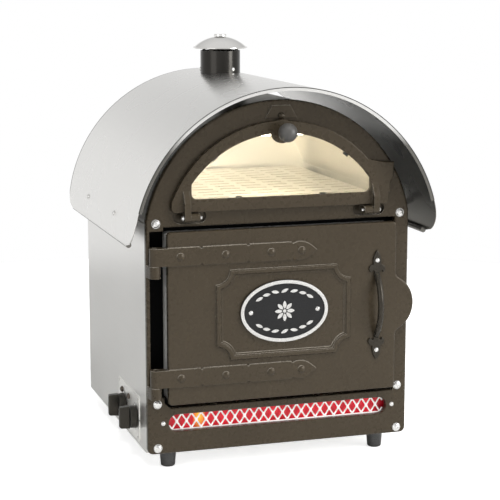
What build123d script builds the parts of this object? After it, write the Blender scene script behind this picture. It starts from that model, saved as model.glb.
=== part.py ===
from build123d import *
from math import asin, cos, degrees, radians, sin, sqrt
import os

os.makedirs("parts", exist_ok=True)

# A counter-top baked potato oven: a square steel cabinet with a cast-iron front, a lit
# display arch above a solid oven door, and a loose half-round roof with a small chimney.
# Millimetres. +X is right, +Y is towards the back, +Z is up. The origin is on the
# worktop, in the middle of the roof's outline. Depths are counted from the front face
# of the casting, heights from the worktop unless a line says otherwise.

# ---------------------------------------------------------------- overall sizes
body_width = 440.0
body_depth = 442.0
foot_height = 30.0
side_height = 375.0            # bottom edge of the casting up to where the arch springs
arch_rise = 184.0
roof_side_gap = 32.0           # from the cabinet's side to the outside of the roof
roof_top_gap = 23.0            # from the arch's apex to the outside of the roof
roof_front_overhang = 50.0
roof_back_overhang = 13.0

# ---------------------------------------------------------------- clearances
running_clearance = 0.05       # radial, pin or shaft in a bore that turns on it
fitted_clearance = 0.02        # radial, pin held still in its bore
side_clearance = 0.3           # between faces that pass each other
hole_clearance = 0.3           # radial, screw or tube through a sheet

# ---------------------------------------------------------------- sheet and castings
sheet = 1.2
liner_sheet = 1.0
fascia_thickness = 10.0
fascia_edge_radius = 3.5
opening_edge_radius = 1.5
fascia_corner_radius = 9.0

# ---------------------------------------------------------------- oven door
hinge_stile = 30.0             # cabinet's left side to the door's left edge
latch_stile = 28.0
lower_rail = 83.0              # casting's bottom edge to the door's bottom edge
upper_rail = 16.0              # door's top edge up to where the arch springs
door_standoff = 18.0           # casting's face to the door's face
door_thickness = 10.0
door_corner_radius = 6.0
door_edge_radius = 2.5
door_gap_bottom = 9.0
door_gap_top = 5.5
door_gap_latch = 4.0
door_gap_hinge = 2.0
hinge_channel_margin = 6.0     # cast rim left of the channel beside the hinges
hinge_channel_bottom = 18.0    # above the opening's bottom edge
hinge_channel_top = 6.0        # below the opening's top edge
opening_corner_cut = 9.0
hinge_inset = 11.0             # cabinet's left side to the hinge line
hinge_forward = 12.0           # casting's face to the hinge line
knuckle_radius = 9.0
knuckle_height = 28.0
lug_height = 19.0
hinge_pin_radius = 4.0
hinge_pin_short = 3.0          # pin's top below the knuckle's top
tab_width = 31.0               # how far the round tab stands past the door's edge
tab_radius = 48.6
tab_blend_radius = 12.0
tab_height = 3.0               # tab's centre above the door's centre

strap_from_top = 38.0
strap_from_bottom = 44.0
strap_height = 29.0
strap_raise = 3.0
strap_neck = 205.0             # door's left edge to the neck before the spear
spear_length = 40.0
notch_radius = 2.6
strap_notches = (54.0, 130.0)  # from the door's left edge
strap_rivets = (20.0, 93.0, 168.0, 219.0)
rivet_radius = 6.0
rivet_raise = 3.4

moulding_half_width = 112.5
moulding_gap_below = 8.7       # lower strap to the moulding
moulding_gap_above = 10.8      # moulding to the upper strap
moulding_notch = 23.0
moulding_width = 8.0
moulding_raise = 4.5
moulding_bevel = 1.6
moulding_step_width = 3.0
moulding_step_raise = 1.4

pan_inset = 3.0                # door's edge to the pressed inner panel
pan_inset_top = 4.0
pan_corner_radius = 4.0
seal_width = 9.0
seal_thickness = 3.6
seal_inset = 5.0
seal_gap = 0.4                 # shut door's seal to the mouth of the oven

# ---------------------------------------------------------------- door furniture
handle_from_edge = 34.0
handle_half_length = 90.0
handle_screw_offset = 74.0
handle_plate_thickness = 3.5
plate_spear_length = 36.0
plate_spear_half_width = 6.6
plate_lobe_drop = 30.0         # handle's end to the middle of the lobes
plate_lobe_radius = 6.6
plate_lobe_offset = 7.0
plate_curl_radius = 2.9
plate_collar_half_width = 3.8
grip_half_span = 50.0
grip_standoff = 21.4           # door's face to the middle of the grip
grip_radius = 4.8
badge_width = 146.0
badge_height = 100.0
badge_lift = 2.0               # above the moulding's middle
badge_thickness = 3.5
badge_rim = 5.5
badge_rim_raise = 2.0
badge_screw_offset = 56.0
rosette_radius = 17.0
leaf_length = 13.0
leaf_width = 5.0
leaf_ring_inset = 17.0
leaf_count = 22
motif_raise = 1.3

# ---------------------------------------------------------------- display window door
window_side_margin = 39.0      # cabinet's side to the frame's side
window_top_margin = 32.0       # arch's apex down to the frame's apex
window_bottom_rise = 12.5      # frame's bottom edge above the arch's springing
window_side_rise = 16.5        # straight part of the frame's side
window_thickness = 9.0
window_gap = 0.5               # frame's back to the casting's face
window_corner_radius = 8.0
window_edge_radius = 2.0
band_side = 33.0               # width of the frame's metal
band_top = 20.0
band_bottom = 20.5
glazed_side_rise = 23.0
glazed_corner_radius = 9.0
rebate_width = 6.0
glass_thickness = 4.0
glass_clearance = 0.5
boss_radius = 19.0
boss_below_apex = 17.0
window_hinge_rise = 5.0        # hinge line above the arch's springing
window_hinge_forward = 12.0    # casting's face to the hinge line
arm_offset = 157.0             # middle of the cabinet to the middle of an arm
arm_width = 10.0
arm_eye_radius = 7.0
arm_height = 43.0
arm_crown_height = 21.0
arm_crown_radius = 5.0
arm_crown_forward = 14.5
window_lug_width = 15.0
window_lug_radius = 6.5
window_pin_radius = 2.5
window_pin_tail = 4.0
window_pin_head_radius = 4.2
window_pin_head_height = 4.5
pocket_length = 54.0
pocket_height = 21.0
pocket_depth = 6.0
ear_reach = 9.0                # ear past the frame's right side
ear_rise = 76.0                # frame's bottom edge to where the ear meets the arch
ear_tongue = 5.5
clip_length = 10.5
clip_width = 10.0
clip_overhang = 2.4
clip_angle = 38.0
clip_offset = 70.0
knob_ball_radius = 15.0
knob_ball_forward = 35.0
knob_neck_radius = 6.5
catch_plate_raise = 2.5
catch_plate_half_bottom = 26.0
catch_plate_half_top = 15.0
catch_plate_height = 20.0
catch_plate_clear = 3.0
catch_stud_radius = 5.0
catch_stud_raise = 4.5

# ---------------------------------------------------------------- glow slot
slot_length = 371.0
slot_height = 28.0
slot_centre_height = 49.0      # above the casting's bottom edge
mesh_margin = 6.0
mesh_border = 4.0
mesh_thickness = 1.6
mesh_strand = 2.0
mesh_pitch = 16.2
mesh_diamond_height = 24.8
glow_panel_gap = 6.0
glow_panel_thickness = 3.0
glow_lamp_radius = 8.0
glow_lamp_half_length = 140.0
glow_lamp_depth = 52.0
lamp_cap_length = 14.0

# ---------------------------------------------------------------- fasteners
screw_head_radius = 7.0
screw_head_height = 4.0
screw_shank_radius = 2.5
small_head_radius = 3.6
small_head_height = 2.2
small_shank_radius = 1.5
corner_screw_inset = 16.0      # cabinet's side to the big front screws
corner_screw_rise = 10.0       # above the casting's bottom edge
middle_screw_rise = 82.0
top_screw_drop = 4.0           # below the arch's springing
slot_screw_inset = 25.0
slot_screw_rise = 50.0

# ---------------------------------------------------------------- cabinet inside
recess_depth = 20.0            # back of the casting to the oven's mouth
cavity_side_margin = 60.0      # cabinet's side to the oven cavity
cavity_floor_rise = 27.0       # above the door's bottom edge
cavity_top_drop = 27.0         # below the door's top edge
cavity_back_margin = 50.0      # cabinet's back to the oven cavity
insulation_thickness = 25.0
runner_depth = 9.0
runner_thickness = 1.5
shelf_heights = (62.0, 132.0)  # above the cavity's floor
runner_start = 8.0             # cavity's floor to the runners' bottom edge
runner_rise = 12.0             # upper ledge to the runners' top edge
shelf_margin = 3.0
shelf_front_margin = 18.0
rod_radius = 2.5
wire_radius = 1.5
wire_pitch = 20.0
crumb_tray_rise = 24.0
crumb_tray_height = 8.0
element_radius = 3.5
element_bend_radius = 14.0
element_side_margin = 30.0
element_end_margin = 34.0
top_element_drop = 14.0
bottom_element_rise = 12.0
element_tail = 26.0
element_tail_offset = 40.0
probe_radius = 3.0
probe_length = 90.0
probe_drop = 70.0

display_side_margin = 42.0     # cabinet's side to the display liner
display_floor_drop = 6.5       # display liner's floor above the arch's springing, less band
display_top_margin = 25.0      # arch's apex to the display liner's apex
display_side_rise = 18.0
display_back_margin = 42.0
deck_side_margin = 17.0
deck_front_margin = 10.0
deck_back_margin = 14.0
deck_height = 13.0
deck_slot_length = 34.0
deck_slot_width = 6.0
deck_columns = 7
deck_rows = 12
lamp_radius = 5.0
lamp_half_length = 78.0
lamp_depth = 72.0
lamp_drop = 34.0
lamp_holder_size = 14.0

# ---------------------------------------------------------------- roof and chimney
roof_skirt_drop = 35.0         # hem below the arch's springing
roof_front_corner = 50.0
roof_back_corner = 32.0
roof_lip = 6.0
hem_radius = 4.5
hem_inset = 0.3                # roof's outside to the outside of the rolled hem
hem_setback = 1.5              # end of the straight lower edge to the end of the hem
bracket_width = 26.0
bracket_thickness = 1.5
bracket_foot_height = 18.0
bracket_web_drop = 7.0         # web below the arch's springing
bracket_flange_height = 21.0
bracket_depths = (98.5, 298.0)
roof_screw_rise = 1.0          # above the arch's springing
roof_screw_head_radius = 4.5
roof_screw_head_height = 2.6
roof_screw_shank_radius = 2.0
chimney_depth = 336.0
chimney_radius = 35.0
chimney_height = 37.5          # above the roof's ridge
sleeve_overlap = 12.0
sleeve_drop = 6.0
chimney_screw_rise = 5.5
chimney_screw_count = 3
cowl_overhang = 13.0           # tube's outside to the cowl's rim
cowl_gap = 4.5
cowl_rise = 20.0
cowl_thickness = 1.0
cowl_rim_radius = 1.5
cowl_strap_width = 9.0
cowl_strap_thickness = 1.2
cowl_strap_drop = 22.0
cowl_bar_gap = 0.6             # between the cowl and the bracket's bar
finial_radius = 11.0
finial_height = 4.0
finial_stud_radius = 3.0

# ---------------------------------------------------------------- controls and rear
control_depths = (79.0, 159.0)
control_height = 73.0
control_plate_front = 56.0
control_plate_length = 146.0
control_plate_bottom = 36.0
control_plate_height = 76.0
control_plate_thickness = 1.0
control_plate_corner = 3.0
control_knob_radius = 19.0
control_skirt_depth = 11.0
control_knob_reach = 27.0
control_grip_width = 11.0
control_knob_gap = 0.8
control_shaft_radius = 3.0
control_shaft_end = 4.0        # shaft's end below the knob's face
control_body_size = 36.0
control_body_depth = 28.0
indicator_depths = (125.0, 173.0)
indicator_height = 95.0
indicator_radius = 5.0
indicator_raise = 4.5
foot_top_radius = 14.0
foot_bottom_radius = 11.5
foot_edge_radius = 3.0
foot_side_inset = 41.0
foot_end_inset = 35.0
foot_stud_radius = 4.0
foot_stud_length = 12.0
gland_offset = 150.0
gland_height = 62.0
gland_radius = 12.0
gland_reach = 11.0
gland_bore_radius = 4.5
gland_thread_radius = 8.0
gland_nut_depth = 6.0
vent_length = 60.0
vent_width = 5.0
vent_pitch_x = 80.0
vent_pitch_z = 13.0
vent_columns = 4
vent_rows = 6
vent_height = 300.0
flange_width = 14.0

# ---------------------------------------------------------------- derived places
half_width = body_width / 2
roof_depth = body_depth + roof_front_overhang + roof_back_overhang
roof_front = -roof_depth / 2
roof_back = roof_depth / 2
face = roof_front + roof_front_overhang
back = face + body_depth
behind_fascia = face + fascia_thickness

panel_bottom = foot_height
spring = panel_bottom + side_height
apex = spring + arch_rise

door_left = -half_width + hinge_stile
door_right = half_width - latch_stile
door_bottom = panel_bottom + lower_rail
door_top = spring - upper_rail
door_middle_x = (door_left + door_right) / 2
door_middle_z = (door_bottom + door_top) / 2
door_front = face - door_standoff
door_back = door_front + door_thickness
opening_left = door_left - door_gap_hinge
opening_right = door_right + door_gap_latch
opening_bottom = door_bottom - door_gap_bottom
opening_top = door_top + door_gap_top
channel_left = -half_width + hinge_channel_margin
hinge_x = -half_width + hinge_inset
hinge_y = face - hinge_forward
strap_middles = (door_bottom + strap_from_bottom, door_top - strap_from_top)
moulding_bottom = strap_middles[0] + strap_height / 2 + moulding_gap_below
moulding_top = strap_middles[1] - strap_height / 2 - moulding_gap_above
moulding_half_height = (moulding_top - moulding_bottom) / 2
moulding_middle_z = (moulding_top + moulding_bottom) / 2
badge_z = moulding_middle_z + badge_lift

window_half = half_width - window_side_margin
window_top = apex - window_top_margin
window_bottom = spring + window_bottom_rise
window_side_top = window_bottom + window_side_rise
window_back = face - window_gap
window_front = window_back - window_thickness
window_hinge_y = face - window_hinge_forward
window_hinge_z = spring + window_hinge_rise
glazed_half = window_half - band_side
glazed_top = window_top - band_top
glazed_bottom = window_bottom + band_bottom
glazed_side_top = glazed_bottom + glazed_side_rise
boss_z = window_top - boss_below_apex
ear_top = window_bottom + ear_rise
viewing_half = glazed_half + 2.7 * rebate_width
viewing_top = glazed_top + 2 * rebate_width
viewing_bottom = glazed_bottom - 1.8 * rebate_width
viewing_side_top = glazed_side_top - 2 * rebate_width

roof_radius = half_width + roof_side_gap
roof_ridge = apex + roof_top_gap
roof_axis_z = roof_ridge - roof_radius
hem_z = spring - roof_skirt_drop
chimney_y = face + chimney_depth
chimney_top = roof_ridge + chimney_height

slot_z = panel_bottom + slot_centre_height
mouth_front = behind_fascia + recess_depth
cavity_half = half_width - cavity_side_margin
cavity_bottom = door_bottom + cavity_floor_rise
cavity_top = door_top - cavity_top_drop
cavity_front = mouth_front + sheet
cavity_back = back - cavity_back_margin

display_half = half_width - display_side_margin
display_bottom = viewing_bottom - display_floor_drop
display_top = apex - display_top_margin
display_side_top = display_bottom + display_side_rise
display_front = behind_fascia + side_clearance
display_back = back - display_back_margin


def front_plane(y):
    """Upright plane at depth y, seen from the front: x to the right, z up."""
    return Plane.XZ.offset(-y)


def facing_front(x, y, z):
    """Place whose own +Z points out of the front of the cabinet."""
    return Plane(origin=(x, y, z), x_dir=(1, 0, 0), z_dir=(0, -1, 0))


def facing_left(x, y, z):
    """Place whose own +Z points out of the left side of the cabinet."""
    return Plane(origin=(x, y, z), x_dir=(0, -1, 0), z_dir=(-1, 0, 0))


def facing_back(x, y, z):
    """Place whose own +Z points out of the back of the cabinet."""
    return Plane(origin=(x, y, z), x_dir=(-1, 0, 0), z_dir=(0, 1, 0))


def arched_outline(plane, half, bottom, side_top, top, corner=0.0):
    """Upright sides closed over the top by one arc, with round bottom corners."""
    with BuildSketch(plane) as outline:
        with BuildLine():
            Polyline((-half, side_top), (-half, bottom), (half, bottom), (half, side_top))
            ThreePointArc((half, side_top), (0, top), (-half, side_top))
        make_face()
        if corner > 0:
            fillet(outline.vertices().group_by(Axis.Y)[0], corner)
    return outline.sketch


def dome_screw(head_radius, head_height, shank_radius, shank_length):
    """A domed head standing on the XY plane with its shank below."""
    rim = 0.3 * head_height
    curve = (head_radius ** 2 + (head_height - rim) ** 2) / (2 * (head_height - rim))
    middle = head_height - curve + sqrt(curve ** 2 - (head_radius / 2) ** 2)
    with BuildPart() as screw:
        with BuildSketch(Plane.XZ):
            with BuildLine():
                Polyline((0, head_height), (0, -shank_length), (shank_radius, -shank_length),
                         (shank_radius, 0), (head_radius, 0), (head_radius, rim))
                ThreePointArc((head_radius, rim), (head_radius / 2, middle), (0, head_height))
            make_face()
        revolve(axis=Axis.Z)
    return screw.part


def round_hull(plane, circles, rectangles):
    """Convex outline around circles (u, v, radius) and rectangles (u, v, width, height)."""
    with BuildSketch(plane) as outline:
        for u, v, radius in circles:
            with Locations((u, v)):
                Circle(radius)
        for u, v, width, height in rectangles:
            with Locations((u, v)):
                Rectangle(width, height)
        make_hull()
    return outline.sketch


# ================================================================ cast front
corner_screws = [(side * (half_width - corner_screw_inset), panel_bottom + rise)
                 for side in (-1, 1)
                 for rise in (corner_screw_rise, middle_screw_rise, side_height - top_screw_drop)]
slot_screw_places = [(side * (half_width - slot_screw_inset), panel_bottom + slot_screw_rise)
                     for side in (-1, 1)]
catch_plate_bottom = window_top + catch_plate_clear
catch_stud_z = catch_plate_bottom + catch_stud_radius - 1
lug_inner = arm_offset - arm_width / 2 - side_clearance - window_lug_width

with BuildPart() as fascia:
    extrude(arched_outline(front_plane(face), half_width, panel_bottom, spring, apex,
                           fascia_corner_radius), amount=-fascia_thickness)
    with BuildSketch(front_plane(face)):
        with BuildLine():
            Polyline((opening_left + opening_corner_cut, opening_bottom),
                     (opening_right, opening_bottom), (opening_right, opening_top),
                     (opening_left, opening_top),
                     (opening_left, opening_top - hinge_channel_top),
                     (channel_left, opening_top - hinge_channel_top),
                     (channel_left, opening_bottom + hinge_channel_bottom),
                     (opening_left, opening_bottom + hinge_channel_bottom),
                     (opening_left, opening_bottom + opening_corner_cut), close=True)
        make_face()
        with Locations((0, slot_z)):
            SlotOverall(slot_length, slot_height)
    extrude(amount=-fascia_thickness, mode=Mode.SUBTRACT)
    extrude(arched_outline(front_plane(face), viewing_half, viewing_bottom, viewing_side_top,
                           viewing_top, window_corner_radius),
            amount=-fascia_thickness, mode=Mode.SUBTRACT)
    front_face = fascia.faces().filter_by(Axis.Y).sort_by(Axis.Y)[0]
    outer_edges = front_face.outer_wire().edges()
    opening_edges = [edge for wire in front_face.inner_wires() for edge in wire.edges()]
    fillet(outer_edges, fascia_edge_radius)
    fillet(opening_edges, opening_edge_radius)
    # pockets that clear the window's hinge arms, and the lugs that hold its pins
    with BuildSketch(front_plane(face)):
        for side in (-1, 1):
            with Locations((side * (arm_offset - window_lug_width / 2), window_hinge_z)):
                SlotOverall(pocket_length, pocket_height)
    extrude(amount=-pocket_depth, mode=Mode.SUBTRACT)
    for side in (-1, 1):
        lug_left = lug_inner if side > 0 else -lug_inner - window_lug_width
        extrude(round_hull(Plane.YZ.offset(lug_left),
                           [(window_hinge_y, window_hinge_z, window_lug_radius)],
                           [(face + pocket_depth, window_hinge_z, 2, 2 * window_lug_radius - 3)]),
                amount=window_lug_width)
        with Locations(Plane.YZ.offset(lug_left).shift_origin(
                (lug_left, window_hinge_y, window_hinge_z))):
            Cylinder(window_pin_radius + fitted_clearance, window_lug_width,
                     align=(Align.CENTER, Align.CENTER, Align.MIN), mode=Mode.SUBTRACT)
    # hinge lugs of the oven door, cast on the left rim
    for middle in strap_middles:
        lug_bottom = middle - knuckle_height / 2 - side_clearance - lug_height
        extrude(round_hull(Plane.XY.offset(lug_bottom), [(hinge_x, hinge_y, knuckle_radius)],
                           [(-half_width + 2.6, face + 3, 5.2, 6)]), amount=lug_height)
        with Locations((hinge_x, hinge_y, lug_bottom)):
            Cylinder(hinge_pin_radius + fitted_clearance, lug_height,
                     align=(Align.CENTER, Align.CENTER, Align.MIN), mode=Mode.SUBTRACT)
    # raised plate above the window that carries the catch stud
    with BuildSketch(front_plane(face)):
        with BuildLine():
            Polyline((-catch_plate_half_bottom, catch_plate_bottom),
                     (catch_plate_half_bottom, catch_plate_bottom),
                     (catch_plate_half_top, catch_plate_bottom + catch_plate_height),
                     (-catch_plate_half_top, catch_plate_bottom + catch_plate_height), close=True)
        make_face()
    extrude(amount=catch_plate_raise)
    with Locations(facing_front(0, face, catch_stud_z)):
        Cylinder(screw_shank_radius, 4 * fascia_thickness, mode=Mode.SUBTRACT)
    with Locations(*[facing_front(x, face, z) for x, z in corner_screws]):
        Cylinder(screw_shank_radius, 4 * fascia_thickness, mode=Mode.SUBTRACT)
    with Locations(*[facing_front(x, face, z) for x, z in slot_screw_places]):
        Cylinder(small_shank_radius, 4 * fascia_thickness, mode=Mode.SUBTRACT)
fascia.part.label = "fascia"
export_step(fascia.part, "parts/fascia.step")

big_screw = dome_screw(screw_head_radius, screw_head_height, screw_shank_radius,
                       fascia_thickness)
with BuildPart() as fascia_screws:
    with Locations(*[facing_front(x, face, z) for x, z in corner_screws]):
        add(big_screw)
fascia_screws.part.label = "fascia_screws"
export_step(fascia_screws.part, "parts/fascia_screws.step")

small_screw = dome_screw(small_head_radius, small_head_height, small_shank_radius,
                         fascia_thickness)
with BuildPart() as slot_screws:
    with Locations(*[facing_front(x, face, z) for x, z in slot_screw_places]):
        add(small_screw)
slot_screws.part.label = "slot_screws"
export_step(slot_screws.part, "parts/slot_screws.step")

domed_stud = dome_screw(catch_stud_radius, catch_stud_raise, screw_shank_radius,
                        fascia_thickness)
with BuildPart() as catch_stud:
    with Locations(facing_front(0, face - catch_plate_raise, catch_stud_z)):
        add(domed_stud)
catch_stud.part.label = "catch_stud"
export_step(catch_stud.part, "parts/catch_stud.step")

# ================================================================ cabinet shell
shell_length = back - behind_fascia
side_panel_top = spring - 5
inner_half = half_width - sheet
casing_leg = 20.0
casing_apex = apex - 2.0
back_half = inner_half - sheet - 0.1
back_bottom = panel_bottom + 2 * sheet + 0.1
back_apex = casing_apex - sheet - 0.1
back_screw_places = [(side * (back_half - 6), z)
                     for side in (-1, 1)
                     for z in (back_bottom + 20, panel_bottom + side_height / 2,
                               spring - casing_leg - 12)]


def side_panel(side):
    """Folded side: an upright sheet with a bottom flange and a rear flange."""
    outer = Align.MAX if side > 0 else Align.MIN
    with BuildPart() as panel:
        with Locations((side * half_width, behind_fascia, panel_bottom)):
            Box(sheet, shell_length, side_panel_top - panel_bottom,
                align=(outer, Align.MIN, Align.MIN))
            Box(flange_width, shell_length, sheet, align=(outer, Align.MIN, Align.MIN))
        with Locations((side * half_width, back - sheet, panel_bottom)):
            Box(flange_width, sheet, spring - casing_leg - 0.1 - panel_bottom,
                align=(outer, Align.MAX, Align.MIN))
        with Locations(*[facing_back(x, back, z) for x, z in back_screw_places]):
            Cylinder(small_shank_radius, 8 * sheet, mode=Mode.SUBTRACT)
    return panel.part


control_places = [(face + depth, control_height) for depth in control_depths]
indicator_places = [(face + depth, indicator_height) for depth in indicator_depths]
control_hole_radius = control_shaft_radius + 2.0

with BuildPart() as side_panel_left:
    add(side_panel(-1))
    with Locations(*[facing_left(-half_width, y, z) for y, z in control_places]):
        Cylinder(control_hole_radius, 4 * sheet, mode=Mode.SUBTRACT)
    with Locations(*[facing_left(-half_width, y, z) for y, z in indicator_places]):
        Cylinder(indicator_radius - 1.5 + hole_clearance, 4 * sheet, mode=Mode.SUBTRACT)
side_panel_left.part.label = "side_panel_left"
export_step(side_panel_left.part, "parts/side_panel_left.step")

with BuildPart() as side_panel_right:
    add(side_panel(1))
side_panel_right.part.label = "side_panel_right"
export_step(side_panel_right.part, "parts/side_panel_right.step")

sleeve_radius = chimney_radius - sheet - 0.1
with BuildPart() as top_casing:
    extrude(arched_outline(front_plane(behind_fascia), inner_half, spring - casing_leg, spring,
                           casing_apex), amount=-shell_length)
    extrude(arched_outline(front_plane(behind_fascia), inner_half - sheet,
                           spring - casing_leg - 1, spring, casing_apex - sheet),
            amount=-shell_length, mode=Mode.SUBTRACT)
    with Locations((0, chimney_y, casing_apex)):
        Cylinder(sleeve_radius + hole_clearance, sleeve_radius, mode=Mode.SUBTRACT)
top_casing.part.label = "top_casing"
export_step(top_casing.part, "parts/top_casing.step")

with BuildPart() as back_panel:
    extrude(arched_outline(front_plane(back - sheet), back_half, back_bottom, spring, back_apex),
            amount=-sheet)
    with BuildSketch(front_plane(back - sheet)):
        with Locations((0, vent_height)):
            with GridLocations(vent_pitch_x, vent_pitch_z, vent_columns, vent_rows):
                SlotOverall(vent_length, vent_width)
    extrude(amount=-sheet, mode=Mode.SUBTRACT)
    with Locations(*[facing_back(x, back, z) for x, z in back_screw_places]):
        Cylinder(small_shank_radius, 8 * sheet, mode=Mode.SUBTRACT)
    with Locations(facing_back(gland_offset, back, gland_height)):
        Cylinder(gland_thread_radius + 0.1, 8 * sheet, mode=Mode.SUBTRACT)
back_panel.part.label = "back_panel"
export_step(back_panel.part, "parts/back_panel.step")

panel_screw = dome_screw(small_head_radius, small_head_height, small_shank_radius, 3 * sheet)
with BuildPart() as back_screws:
    with Locations(*[facing_back(x, back, z) for x, z in back_screw_places]):
        add(panel_screw)
back_screws.part.label = "back_screws"
export_step(back_screws.part, "parts/back_screws.step")

base_half = inner_half - 0.1
base_floor = panel_bottom + sheet
base_length = shell_length - 2 * sheet - 0.2
foot_places = [(side * (half_width - foot_side_inset), y)
               for side in (-1, 1) for y in (face + foot_end_inset, back - foot_end_inset)]
with BuildPart() as base_pan:
    with Locations((0, behind_fascia, base_floor)):
        Box(2 * base_half, base_length, sheet, align=(Align.CENTER, Align.MIN, Align.MIN))
        Box(2 * base_half, sheet, flange_width, align=(Align.CENTER, Align.MIN, Align.MIN))
    with Locations((0, behind_fascia + base_length, base_floor)):
        Box(2 * base_half, sheet, flange_width, align=(Align.CENTER, Align.MAX, Align.MIN))
    with Locations(*[(x, y, base_floor) for x, y in foot_places]):
        Cylinder(foot_stud_radius + hole_clearance, 8 * sheet, mode=Mode.SUBTRACT)
base_pan.part.label = "base_pan"
export_step(base_pan.part, "parts/base_pan.step")

foot_seat = base_floor         # feet are screwed up against the pan
with BuildPart() as feet:
    for x, y in foot_places:
        with BuildSketch(Plane.XZ.offset(-y)) as foot_profile:
            with BuildLine():
                Polyline((x, 0), (x + foot_bottom_radius, 0), (x + foot_top_radius, foot_seat),
                         (x + foot_stud_radius, foot_seat),
                         (x + foot_stud_radius, foot_seat + foot_stud_length),
                         (x, foot_seat + foot_stud_length), close=True)
            make_face()
            fillet(foot_profile.vertices().filter_by_position(
                Axis.X, x + foot_bottom_radius - 0.1, x + foot_bottom_radius + 0.1),
                foot_edge_radius)
        revolve(axis=Axis((x, y, 0), (0, 0, 1)))
feet.part.label = "feet"
export_step(feet.part, "parts/feet.step")

# ================================================================ roof
bracket_web_top = spring - bracket_web_drop
roof_inner = roof_radius - sheet
roof_screw_z = spring + roof_screw_rise
roof_screw_angle = degrees(asin((roof_screw_z - roof_axis_z) / roof_radius))


def on_roof(side, y):
    """Place on the roof's outside at the screw's height, with +Z square to the sheet."""
    angle = radians(roof_screw_angle)
    return Plane(origin=(side * roof_radius * cos(angle), y, roof_screw_z), x_dir=(0, 1, 0),
                 z_dir=(side * cos(angle), 0, sin(angle)))


roof_screw_places = [on_roof(side, face + depth) for side in (-1, 1) for depth in bracket_depths]
hem_x = sqrt((roof_radius - hem_radius - hem_inset) ** 2 - (hem_z - roof_axis_z) ** 2)
hem_start = roof_front + roof_front_corner + hem_setback
hem_end = roof_back - roof_back_corner - hem_setback
corner_top = hem_z + roof_front_corner

with BuildPart() as roof_canopy:
    with BuildSketch(front_plane(roof_front)):
        with Locations((0, roof_axis_z)):
            Circle(roof_radius)
            Circle(roof_inner, mode=Mode.SUBTRACT)
    extrude(amount=-roof_depth)
    # lower corners rounded back
    with BuildSketch(Plane.YZ.offset(-1.5 * roof_radius)) as side_outline:
        with Locations((0, hem_z)):
            Rectangle(roof_depth, 2 * roof_radius, align=(Align.CENTER, Align.MIN))
        low_corners = side_outline.vertices().group_by(Axis.Y)[0].sort_by(Axis.X)
        fillet(low_corners[0], roof_front_corner)
        fillet(low_corners[1], roof_back_corner)
    extrude(amount=3 * roof_radius, mode=Mode.INTERSECT)
    # narrow flange turned in along the front edge
    with BuildSketch(front_plane(roof_front)):
        with Locations((0, roof_axis_z)):
            Circle(roof_inner + 0.5 * sheet)
            Circle(roof_radius - roof_lip, mode=Mode.SUBTRACT)
        with Locations((0, corner_top + roof_lip)):
            Rectangle(3 * roof_radius, 3 * roof_radius, align=(Align.CENTER, Align.MAX),
                      mode=Mode.SUBTRACT)
    extrude(amount=-sheet)
    # rolled hem along each lower edge
    with BuildSketch(front_plane(hem_start)):
        with Locations((-hem_x, hem_z), (hem_x, hem_z)):
            Circle(hem_radius)
            Circle(hem_radius - sheet, mode=Mode.SUBTRACT)
    extrude(amount=-(hem_end - hem_start))
    with Locations(*roof_screw_places):
        Cylinder(roof_screw_shank_radius, 8 * sheet, mode=Mode.SUBTRACT)
    with Locations((0, chimney_y, roof_ridge)):
        Cylinder(sleeve_radius + hole_clearance, sleeve_radius, mode=Mode.SUBTRACT)
roof_canopy.part.label = "roof_canopy"
export_step(roof_canopy.part, "parts/roof_canopy.step")

with BuildPart() as roof_brackets:
    for depth in bracket_depths:
        with BuildSketch(front_plane(face + depth - bracket_width / 2)):
            with Locations((0, roof_axis_z)):
                Circle(roof_inner - 0.05)
                Circle(roof_inner - 0.05 - bracket_thickness, mode=Mode.SUBTRACT)
            with Locations((0, bracket_web_top + bracket_flange_height)):
                Rectangle(3 * roof_radius, 3 * roof_radius, align=(Align.CENTER, Align.MIN),
                          mode=Mode.SUBTRACT)
            with Locations((0, bracket_web_top - bracket_thickness)):
                Rectangle(3 * roof_radius, 3 * roof_radius, align=(Align.CENTER, Align.MAX),
                          mode=Mode.SUBTRACT)
        extrude(amount=-bracket_width)
        web_reach = sqrt((roof_inner - bracket_thickness) ** 2
                         - (bracket_web_top - roof_axis_z) ** 2) - half_width
        for side in (-1, 1):
            near_wall = Align.MIN if side > 0 else Align.MAX
            with Locations((side * half_width, face + depth, bracket_web_top)):
                Box(web_reach, bracket_width, bracket_thickness,
                    align=(near_wall, Align.CENTER, Align.MAX))
                Box(bracket_thickness, bracket_width, bracket_foot_height,
                    align=(near_wall, Align.CENTER, Align.MAX))
    with Locations(*roof_screw_places):
        Cylinder(roof_screw_shank_radius, 12 * sheet, mode=Mode.SUBTRACT)
roof_brackets.part.label = "roof_brackets"
export_step(roof_brackets.part, "parts/roof_brackets.step")

roof_screw = dome_screw(roof_screw_head_radius, roof_screw_head_height,
                        roof_screw_shank_radius, sheet + bracket_thickness)
with BuildPart() as roof_screws:
    with Locations(*roof_screw_places):
        add(roof_screw)
roof_screws.part.label = "roof_screws"
export_step(roof_screws.part, "parts/roof_screws.step")

# ================================================================ chimney
sleeve_bottom = display_top - sleeve_drop
sleeve_top = roof_ridge + sleeve_overlap
chimney_screw_z = roof_ridge + chimney_screw_rise


def around_chimney(index):
    """Place on the tube's outside, counted round from the front, with +Z pointing out."""
    angle = radians(-67 + index * 360 / chimney_screw_count)
    return Plane(origin=(chimney_radius * cos(angle), chimney_y + chimney_radius * sin(angle),
                         chimney_screw_z),
                 x_dir=(0, 0, 1), z_dir=(cos(angle), sin(angle), 0))


chimney_screw_places = [around_chimney(index) for index in range(chimney_screw_count)]

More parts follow.
